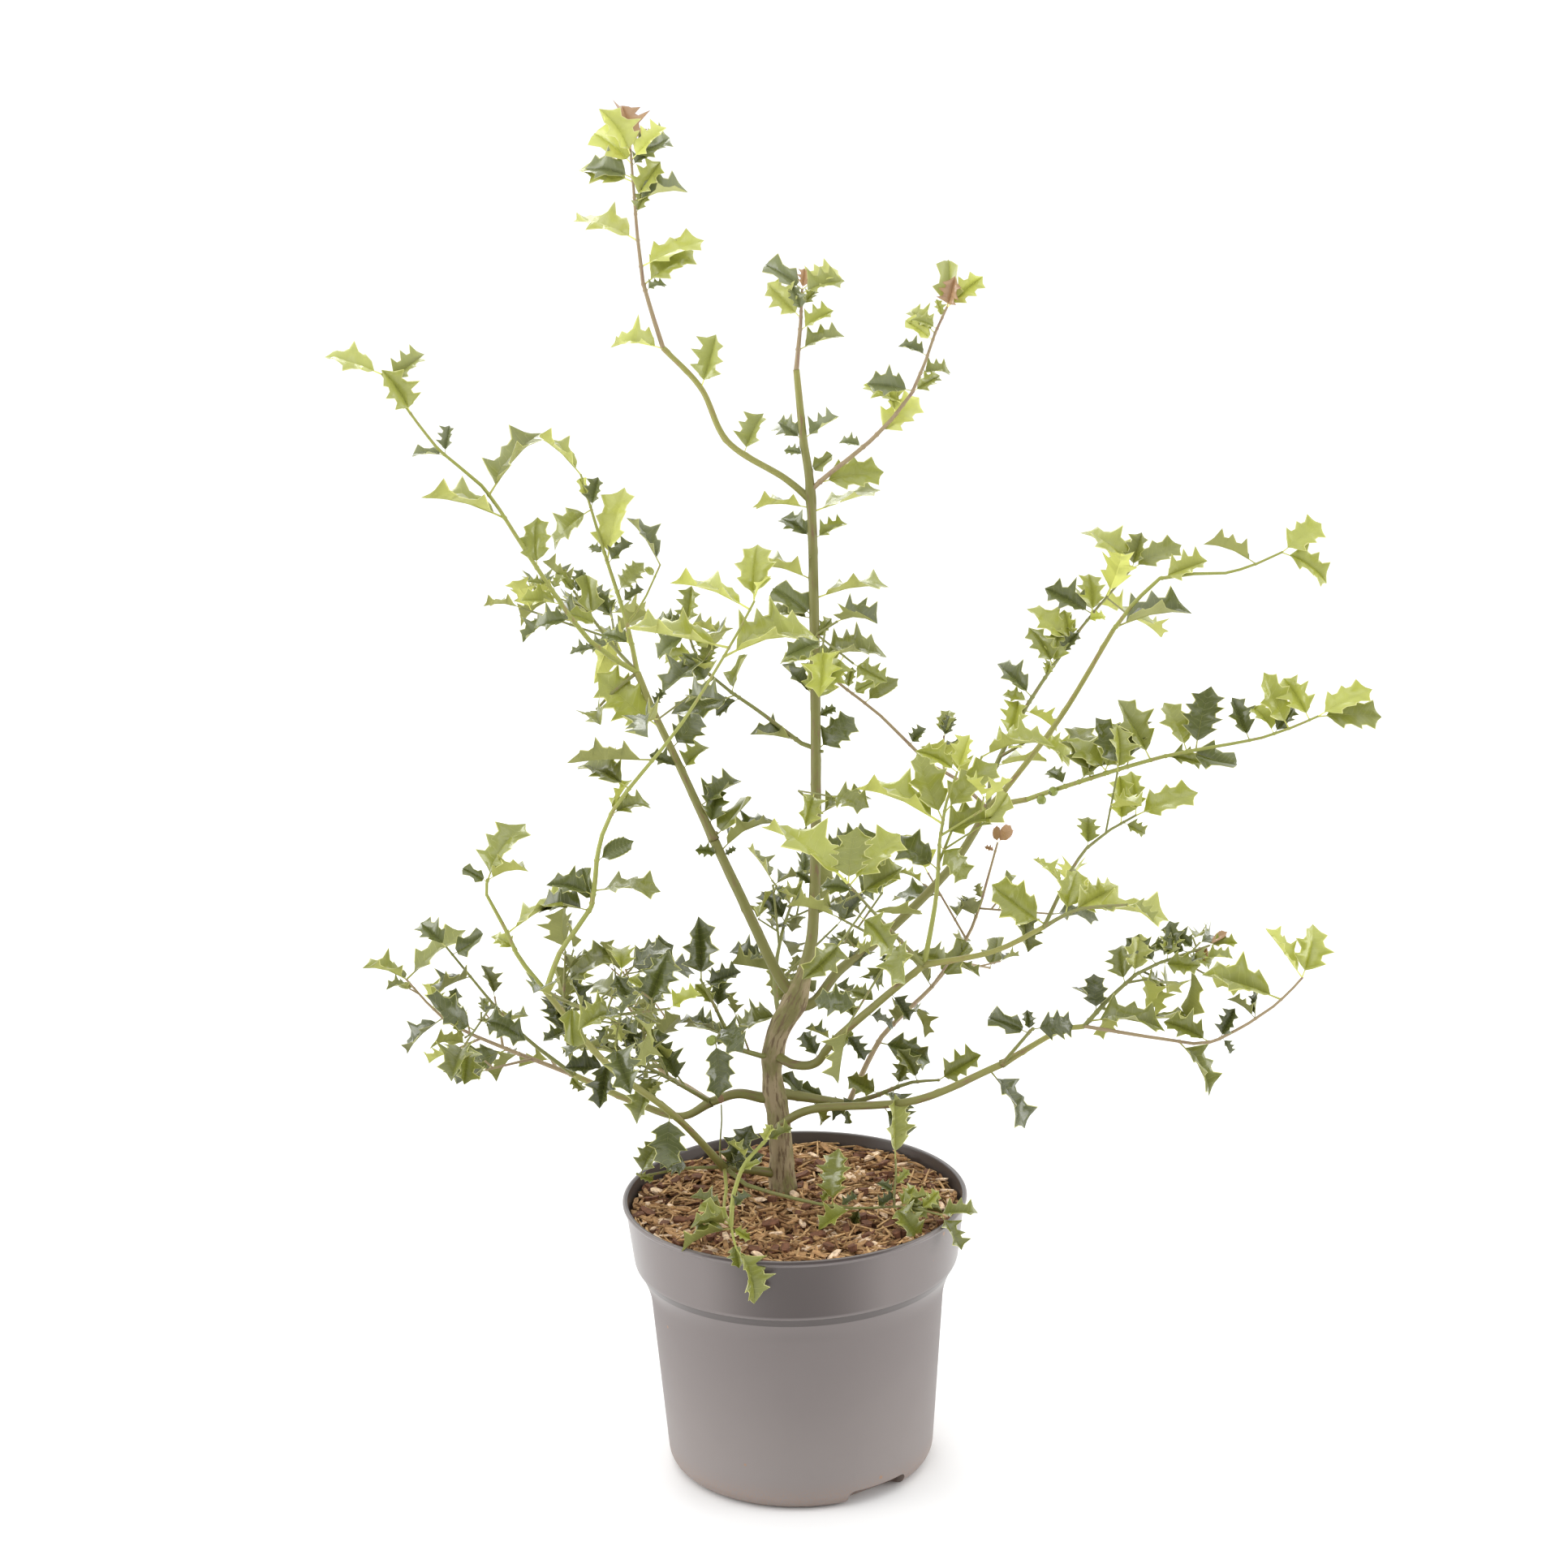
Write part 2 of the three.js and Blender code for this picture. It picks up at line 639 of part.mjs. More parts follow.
// A tube along a line of points with a radius for each, closed at both ends.
function taperedTube(points, radii, sides) {
  const corners = [];
  const faces = [];
  let first;
  points.forEach((point, i) => {
    const from = points[Math.max(0, i - 1)];
    const to = points[Math.min(points.length - 1, i + 1)];
    const along = to.clone().sub(from).normalize();
    first = first ? first.addScaledVector(along, -first.dot(along)).normalize() : sideways(along)[0];
    const second = new THREE.Vector3().crossVectors(along, first);
    for (let s = 0; s < sides; s++) {
      const angle = (2 * Math.PI * s) / sides;
      corners.push(
        point
          .clone()
          .addScaledVector(first, radii[i] * Math.cos(angle))
          .addScaledVector(second, radii[i] * Math.sin(angle)),
      );
    }
  });
  const lastRing = (points.length - 1) * sides;
  for (let s = 0; s < sides; s++) {
    const next = (s + 1) % sides;
    for (let ring = 0; ring < lastRing; ring += sides) {
      faces.push([ring + s, ring + next, ring + sides + next]);
      faces.push([ring + s, ring + sides + next, ring + sides + s]);
    }
    if (s > 0 && next > 0) faces.push([0, next, s], [lastRing, lastRing + s, lastRing + next]);
  }
  return solidFrom(corners, faces);
}

// The same limb grown outwards by the clearance, which cuts its neighbours clear of it.
function clearanceTube(points, radii, sides) {
  const swell = GAP / Math.cos(Math.PI / sides);
  const line = points.map((p) => p.clone());
  line[0].addScaledVector(points[0].clone().sub(points[1]).normalize(), GAP);
  line.at(-1).addScaledVector(points.at(-1).clone().sub(points.at(-2)).normalize(), GAP);
  return taperedTube(line, radii.map((r) => r + swell), sides);
}

// A leaf of four faces: its root and tip, and two widest corners that stand up from the midrib.
function leafSolid(leaf) {
  const { width, widest, fold } = leafShape;
  const corners = [
    onLeaf(leaf, 0, 0, 0),
    onLeaf(leaf, widest, width / 2, fold),
    onLeaf(leaf, 1, 0, 0),
    onLeaf(leaf, widest, -width / 2, fold),
  ];
  return solidFrom(corners, [
    [0, 1, 3],
    [1, 2, 3],
    [0, 2, 1],
    [0, 3, 2],
  ]);
}

// A berry beside the stem, hanging a little.
function berrySolid(stem, share) {
  const { point, along } = stem.at(stem.length * share);
  const turn = 2 * Math.PI * seeded(Math.round(stem.length * share))();
  const direction = branchDirection(along, turn, Math.PI / 2, -0.8);
  const offset = stem.radius(stem.length * share) + berry.radius - berry.sunk;
  const centre = point.addScaledVector(direction, offset);
  return solidOf(new THREE.IcosahedronGeometry(berry.radius).translate(...centre));
}

// ---- what the twigs and leaves keep clear of ----

const sampleSpacing = 8;
const limbClearance = { twig: 3, leaf: 2.5 }; // from the bark of the trunk and the boughs
const spaceMargin = { twig: 2, leaf: 1.2 }; // how much nearer to its own shoots than to another's
const potKeepOut = { lowest: 180, bodyTop: 200, soilMargin: 3, wallFrom: 130, wallTo: 143, inner: 136 };

function clearOfPot(points) {
  const { lowest, bodyTop, soilMargin, wallFrom, wallTo, inner } = potKeepOut;
  return points.every((p) => {
    const r = Math.hypot(p.x, p.y);
    if (p.z < lowest || (r < wallTo && p.z < bodyTop)) return false;
    if (r < inner && p.z < mulch.top + soilMargin) return false;
    return !(r >= wallFrom && r < wallTo && p.z < pot.height + 2);
  });
}

function nearest(point, others) {
  return others.reduce((least, other) => Math.min(least, point.distanceTo(other)), Infinity);
}

function clearOfLimbs(points, limbs, clearance) {
  return points.every((p) => limbs.every((limb) => p.distanceTo(limb.point) - limb.radius > clearance));
}

function inOwnSpace(points, own, others, margin) {
  return points.every((p) => nearest(p, own) < nearest(p, others) - margin);
}

// The points of a leaf that have to be clear: along its middle and round its edge.
function leafPoints(leaf) {
  const half = leafShape.width / 2;
  return [
    [0.3, 0, 0],
    [0.65, 0, 0],
    [1, 0, 0],
    [0.5, half, leafShape.fold],
    [0.5, -half, leafShape.fold],
    [0.25, half / 2, 0],
    [0.25, -half / 2, 0],
    [0.75, half / 2, 0],
    [0.75, -half / 2, 0],
  ].map(([forward, aside, raised]) => onLeaf(leaf, forward, aside, raised));
}

// Grows every mass, leaving out what would leave its mass's space or touch a limb.
function growMasses(limbs) {
  const names = Object.keys(masses);
  const grown = {};
  for (const name of names) {
    const shoots = growTwigs(masses[name]);
    grown[name] = { shoots, kept: [shoots[0]], near: shoots[0].samples(sampleSpacing) };
  }
  const around = (name) => names.filter((other) => other !== name).flatMap((other) => grown[other].near);
  for (const name of names) {
    const { shoots, kept } = grown[name];
    const stem = shoots[0].samples(sampleSpacing);
    const others = around(name);
    for (const twig of shoots.slice(1)) {
      const samples = twig.samples(sampleSpacing);
      const outer = samples.slice(2);
      if (!clearOfPot(outer) || !clearOfLimbs(outer, limbs, limbClearance.twig)) continue;
      if (!inOwnSpace(outer, stem, others, spaceMargin.twig)) continue;
      kept.push(twig);
      grown[name].near.push(...samples);
    }
  }
  for (const name of names) {
    const { kept, near } = grown[name];
    const others = around(name);
    grown[name].leaves = growLeaves(masses[name], kept).filter((leaf) => {
      const points = leafPoints(leaf);
      if (!clearOfPot(points) || !clearOfLimbs(points, limbs, limbClearance.leaf)) return false;
      return inOwnSpace(points, near, others, spaceMargin.leaf);
    });
  }
  return grown;
}

// ---- pot and mulch ----

// Points on a quarter circle from straight down to straight out, for the rounded foot.
function rounding(centreRadius, centreHeight, radius, steps) {
  return Array.from({ length: steps + 1 }, (_, i) => {
    const angle = (Math.PI / 2) * (i / steps);
    return [centreRadius + radius * Math.sin(angle), centreHeight - radius * Math.cos(angle)];
  });
}

// A solid turned about the upright axis from a profile of radii and heights.
function lathe(profile) {
  const points = profile.map(([r, z]) => new THREE.Vector2(r, z));
  return solidOf(new THREE.LatheGeometry(points, pot.segments).rotateX(Math.PI / 2));
}

// The body's radius on its slope from the foot to the shoulder.
function bodyRadius(height) {
  const share = (height - pot.footRounding) / (pot.shoulderHeight - pot.footRounding);
  return pot.footRadius + (pot.shoulderRadius - pot.footRadius) * share;
}

// The inside of the pot up to a height, smaller all round by an inset from the inner wall.
function innerProfile(height, inset) {
  const side = pot.wall + inset;
  const floorCorner = pot.footRounding - side;
  const rise = (height - pot.collarFootHeight) / (pot.height - pot.lipHeight - pot.collarFootHeight);
  return [
    ...rounding(pot.footRadius - pot.footRounding, pot.footRounding, floorCorner, 2),
    [bodyRadius(pot.shoulderHeight) - side, pot.shoulderHeight],
    [pot.collarFootRadius - side, pot.collarFootHeight],
    [pot.collarFootRadius + (pot.collarTopRadius - pot.collarFootRadius) * rise - side, height],
  ];
}

// The space of a recess, larger by a margin, which reaches out past the foot and below it.
function recessBox(margin, bearing) {
  const outside = 30;
  const depth = recess.depth + margin;
  const height = recess.height + margin;
  const box = new THREE.BoxGeometry(depth + outside, recess.width + 2 * margin, height + outside);
  box.translate(pot.footRadius - depth + (depth + outside) / 2, 0, (height - outside) / 2);
  return solidOf(box.rotateZ(THREE.MathUtils.degToRad(bearing)));
}

function makePot() {
  const lipFoot = pot.height - pot.lipHeight;
  const outer = [
    [0, 0],
    ...rounding(pot.footRadius - pot.footRounding, pot.footRounding, pot.footRounding, 4),
    [pot.shoulderRadius, pot.shoulderHeight],
    [pot.collarFootRadius, pot.collarFootHeight],
    [pot.collarTopRadius, lipFoot],
    [pot.rimRadius, lipFoot + 1],
    [pot.rimRadius, pot.height - 1],
    [pot.rimRadius - 1, pot.height],
    [0, pot.height],
  ];
  const shell = lathe(outer);
  const inside = [[0, pot.wall], ...innerProfile(pot.height + 1, 0), [0, pot.height + 1]];
  let solid = shell.subtract(lathe(inside));
  for (const bearing of recess.bearings) {
    const housing = recessBox(pot.wall, bearing).intersect(shell);
    solid = solid.add(housing).subtract(recessBox(0, bearing));
  }
  return solid;
}

function makeMulch() {
  const crown = [[pot.rimRadius * 0.6, mulch.top], [0, mulch.top]];
  const filling = [[0, pot.wall + GAP], ...innerProfile(mulch.top - mulch.dish, GAP), ...crown];
  return recess.bearings.reduce(
    (solid, bearing) => solid.subtract(recessBox(pot.wall + GAP, bearing)),
    lathe(filling),
  );
}

// ---- trunk, boughs and masses ----

function trunkRadius(height) {
  const above = trunk.radii.findIndex(([level]) => level > height);
  if (above < 1) return trunk.radii.at(above)[1];
  const [[low, wide], [high, narrow]] = trunk.radii.slice(above - 1, above + 1);
  return wide + ((narrow - wide) * (height - low)) / (high - low);
}

// A limb as its tube and as the larger tube that keeps others clear of it.
function limbSolids(knots, radiusAt, { sides, spacing }) {
  const points = smoothPath(knots, spacing);
  const radii = radiusAt(points);
  return { tube: taperedTube(points, radii, sides), clearance: clearanceTube(points, radii, sides) };
}

function evenTaper(foot, end) {
  return (points) => {
    const shoot = new Shoot(points, foot, end);
    return shoot.reached.map((distance) => shoot.radius(distance));
  };
}

function cutClear(solid, clearances) {
  return clearances.reduce((rest, clearance) => rest.subtract(clearance), solid);
}

function largestBody(solid) {
  return solid.decompose().reduce((best, body) => (body.volume() > best.volume() ? body : best));
}

function limbSamples() {
  const trunkLine = smoothPath(trunk.knots, sampleSpacing);
  const samples = trunkLine.map((point) => ({ point, radius: trunkRadius(point.z) }));
  for (const { knots, foot, end } of Object.values(boughs)) {
    const bough = new Shoot(smoothPath(knots, sampleSpacing), foot, end);
    bough.points.forEach((point, i) => samples.push({ point, radius: bough.radius(bough.reached[i]) }));
  }
  return samples;
}

const materials = {
  pot: new THREE.MeshStandardMaterial({ color: 0x8d8582, roughness: 0.55, metalness: 0 }),
  mulch: new THREE.MeshStandardMaterial({ color: 0x9c7449, roughness: 0.95, metalness: 0 }),
  bark: new THREE.MeshStandardMaterial({ color: 0x74705a, roughness: 0.85, metalness: 0 }),
  foliage: new THREE.MeshStandardMaterial({ color: 0x5c7d3a, roughness: 0.4, metalness: 0 }),
};

const plant = new THREE.Group();

function addNode(name, solid, material) {
  const mesh = new THREE.Mesh(geometryOf(solid), material);
  mesh.name = name;
  plant.add(mesh);
}

// ---- assembly ----

const mulchSolid = makeMulch();
addNode("pot", makePot(), materials.pot);
addNode("mulch", mulchSolid, materials.mulch);

// The trunk is cut flat just above the mulch.
const trunkRadii = (points) => points.map((p) => trunkRadius(p.z));
const trunkSolids = limbSolids(trunk.knots, trunkRadii, fineness.trunk);
addNode("trunk", trunkSolids.tube.subtract(mulchSolid.translate(0, 0, GAP)), materials.bark);

// Each bough is cut clear of the trunk and of the boughs before it.
const limbClearances = [trunkSolids.clearance];
for (const [name, { knots, foot, end }] of Object.entries(boughs)) {
  const { tube, clearance } = limbSolids(knots, evenTaper(foot, end), fineness.bough);
  addNode("bough_" + name, largestBody(cutClear(tube, limbClearances)), materials.bark);
  limbClearances.push(clearance);
}

const grown = growMasses(limbSamples());
const stems = Object.values(masses).map(({ knots, foot }) =>
  limbSolids(knots, evenTaper(foot, stemEnd), fineness.stem),
);
const clearanceOf = (stem) => stem.clearance;

// The twigs, leaves and berries of a mass, apart from those that touch a mass already made.
function foliagePieces({ kept, leaves }, fruit, madeBefore) {
  const twigs = kept
    .slice(1)
    .map((twig) => taperedTube(twig.points, [twig.footRadius, twig.endRadius], fineness.twig.sides));
  const berries = fruit.map((share) => berrySolid(kept[0], share));
  const isClear = (solid) => madeBefore.every((other) => other.intersect(solid).isEmpty());
  return [...twigs, ...leaves.map(leafSolid), ...berries].filter(isClear);
}

// A mass is its stem with the foliage fused on, cut clear of the limbs and of the other stems.
const made = [];
Object.entries(grown).forEach(([name, growth], index) => {
  const pieces = foliagePieces(growth, masses[name].fruit ?? [], made);
  const before = [...limbClearances, ...stems.slice(0, index).map(clearanceOf)];
  const after = stems.slice(index + 1).map(clearanceOf);
  const stem = cutClear(stems[index].tube, before);
  const foliage = cutClear(wasm.Manifold.union(pieces), [...before, ...after]);
  const mass = largestBody(stem.add(foliage));
  made.push(mass);
  addNode("spray_" + name, mass, materials.foliage);
});

export default plant;
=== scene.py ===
import math

import bmesh
import bpy
import numpy as np
from mathutils import Matrix, Vector, noise


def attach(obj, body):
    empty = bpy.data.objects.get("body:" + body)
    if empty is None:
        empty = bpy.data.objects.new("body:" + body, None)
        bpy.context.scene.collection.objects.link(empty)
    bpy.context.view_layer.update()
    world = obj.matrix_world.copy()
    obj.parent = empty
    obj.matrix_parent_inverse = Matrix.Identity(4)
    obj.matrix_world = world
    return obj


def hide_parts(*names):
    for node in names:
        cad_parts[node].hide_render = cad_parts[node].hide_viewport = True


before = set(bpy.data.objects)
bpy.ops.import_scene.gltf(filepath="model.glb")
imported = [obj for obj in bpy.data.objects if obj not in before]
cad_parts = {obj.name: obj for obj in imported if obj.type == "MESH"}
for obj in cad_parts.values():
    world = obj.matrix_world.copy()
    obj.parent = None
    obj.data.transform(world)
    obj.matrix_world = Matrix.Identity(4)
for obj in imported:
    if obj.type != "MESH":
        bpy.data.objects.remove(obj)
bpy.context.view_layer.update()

# A young holly in its nursery pot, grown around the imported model. Lengths are in millimetres up to the
# moment a mesh is made, because the limbs and masses repeat the sizes of the model.
mm = 0.001
goldenAngle = math.radians(137.5)
up = np.array([0.0, 0.0, 1.0])

# Places are in metres, angles in degrees, and focal and frameWidth in pixels.
cameraSettings = dict(place=(0, -2.5, 1.257), pitch=15.26, roll=1.5, focal=4064, frameWidth=1932, sensor=36)


def linkObject(name, data):
    made = bpy.data.objects.new(name, data)
    bpy.context.scene.collection.objects.link(made)
    return made


def addCamera():
    s = cameraSettings
    data = bpy.data.cameras.new("camera")
    data.sensor_width = s["sensor"]
    data.lens = s["sensor"] * s["focal"] / s["frameWidth"]
    camera = linkObject("camera", data)
    pitch = Matrix.Rotation(math.radians(90 - s["pitch"]), 4, "X")
    roll = Matrix.Rotation(math.radians(-s["roll"]), 4, "Z")
    camera.matrix_world = Matrix.Translation(s["place"]) @ pitch @ roll
    bpy.context.scene.camera = camera


addCamera()
print("camera in place")

# Limbs and masses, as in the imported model. Knots are (x, y, z), and foot and end are radii.
stemEnd = 0.9
twigEnd = 0.8
thickestTwig = 1.5
stemSpacing = 24
limbSpacing = 8

trunkKnots = [
    (-9, 42, 213), (-10, 41, 250), (-12, 39, 283), (-16, 39, 321), (-11, 38, 353), (1, 37, 376), (9, 36, 394),
    (17, 36, 425), (21, 37, 453), (25, 39, 541), (27, 43, 673), (27, 45, 790), (22, 47, 841), (18, 49, 894),
]
# height and radius
trunkRadii = [
    (213, 13), (222, 11.5), (232, 10), (283, 9.3), (321, 8.2), (353, 9), (380, 10), (400, 7), (420, 5.2),
    (453, 4.5), (541, 4.2), (673, 4), (790, 3.6), (841, 3.1), (894, 2.5),
]

# Where one bough ends and others start.
forks = dict(
    tallLeft=(-58, 77, 508), tallLeftTop=(-117, 115, 641), topLeft=(-86, 89, 908), right=(167, 110, 519),
    rightMiddle=(268, 89, 672), rightOuter=(198, 90, 532), rightFront=(105, -65, 444),
    rightFrontOuter=(196, -95, 482), rightLowBack=(46, 65, 281), rightLow=(166, -50, 355),
    rightLowOuter=(229, -70, 392), leftLow=(-67, 47, 293), leftLowOuter=(-180, 75, 309),
    leftFoot=(-57, 20, 246), leftFront=(-188, -85, 437),
)

boughs = {
    "tall_left_lower": dict(
        knots=[(7, 37, 386), (-8, 41, 402), (-39, 60, 468), forks["tallLeft"]],
        foot=4.6, end=3.9,
    ),
    "tall_left_upper": dict(
        knots=[forks["tallLeft"], (-89, 97, 576), (-106, 107, 613), forks["tallLeftTop"]],
        foot=3.6, end=2.7,
    ),
    "top_left": dict(
        knots=[(27, 45, 792), (6, 53, 809), (-37, 67, 836), (-57, 79, 877), forks["topLeft"]],
        foot=2.7, end=2.1,
    ),
    "right_main": dict(
        knots=[
            (2, 37, 377), (20, 41, 380), (42, 55, 402), (79, 75, 424), (134, 95, 473), forks["right"],
        ],
        foot=4.2, end=3.2,
    ),
    "right_middle": dict(
        knots=[forks["right"], (189, 107, 546), (228, 99, 601), forks["rightMiddle"]],
        foot=2.5, end=1.9,
    ),
    "right_outer": dict(
        knots=[forks["right"], (182, 101, 526), forks["rightOuter"]],
        foot=2.5, end=2.3,
    ),
    "right_front": dict(
        knots=[
            (-14, 37, 337), (2, 22, 333), (20, 14, 337), (36, -10, 365), (81, -45, 417),
            forks["rightFront"],
        ],
        foot=3.8, end=2.7,
    ),
    "right_front_outer": dict(
        knots=[forks["rightFront"], (157, -85, 460), forks["rightFrontOuter"]],
        foot=2.4, end=1.9,
    ),
    "right_low_back": dict(
        knots=[(-14, 39, 303), (16, 50, 293), forks["rightLowBack"]],
        foot=4.5, end=3.4,
    ),
    "right_low": dict(
        knots=[(-12, 38, 268), (-8, 20, 283), (20, 5, 301), (98, -25, 317), forks["rightLow"]],
        foot=3.6, end=2.8,
    ),
    "right_low_outer": dict(
        knots=[forks["rightLow"], (208, -65, 386), forks["rightLowOuter"]],
        foot=2.5, end=2,
    ),
    "left_low": dict(
        knots=[(-13, 39, 299), (-24, 38, 299), (-45, 41, 302), forks["leftLow"]],
        foot=4.3, end=3.7,
    ),
    "left_low_outer": dict(
        knots=[forks["leftLow"], (-93, 50, 280), (-131, 60, 290), forks["leftLowOuter"]],
        foot=3.3, end=2.5,
    ),
    "left_foot": dict(
        knots=[(-11, 42, 229), (-26, 34, 236), (-45, 26, 242), forks["leftFoot"]],
        foot=3.8, end=3.4,
    ),
    "left_front": dict(
        knots=[forks["leftFoot"], (-94, -25, 309), (-145, -60, 368), forks["leftFront"]],
        foot=3.1, end=2.3,
    ),
}

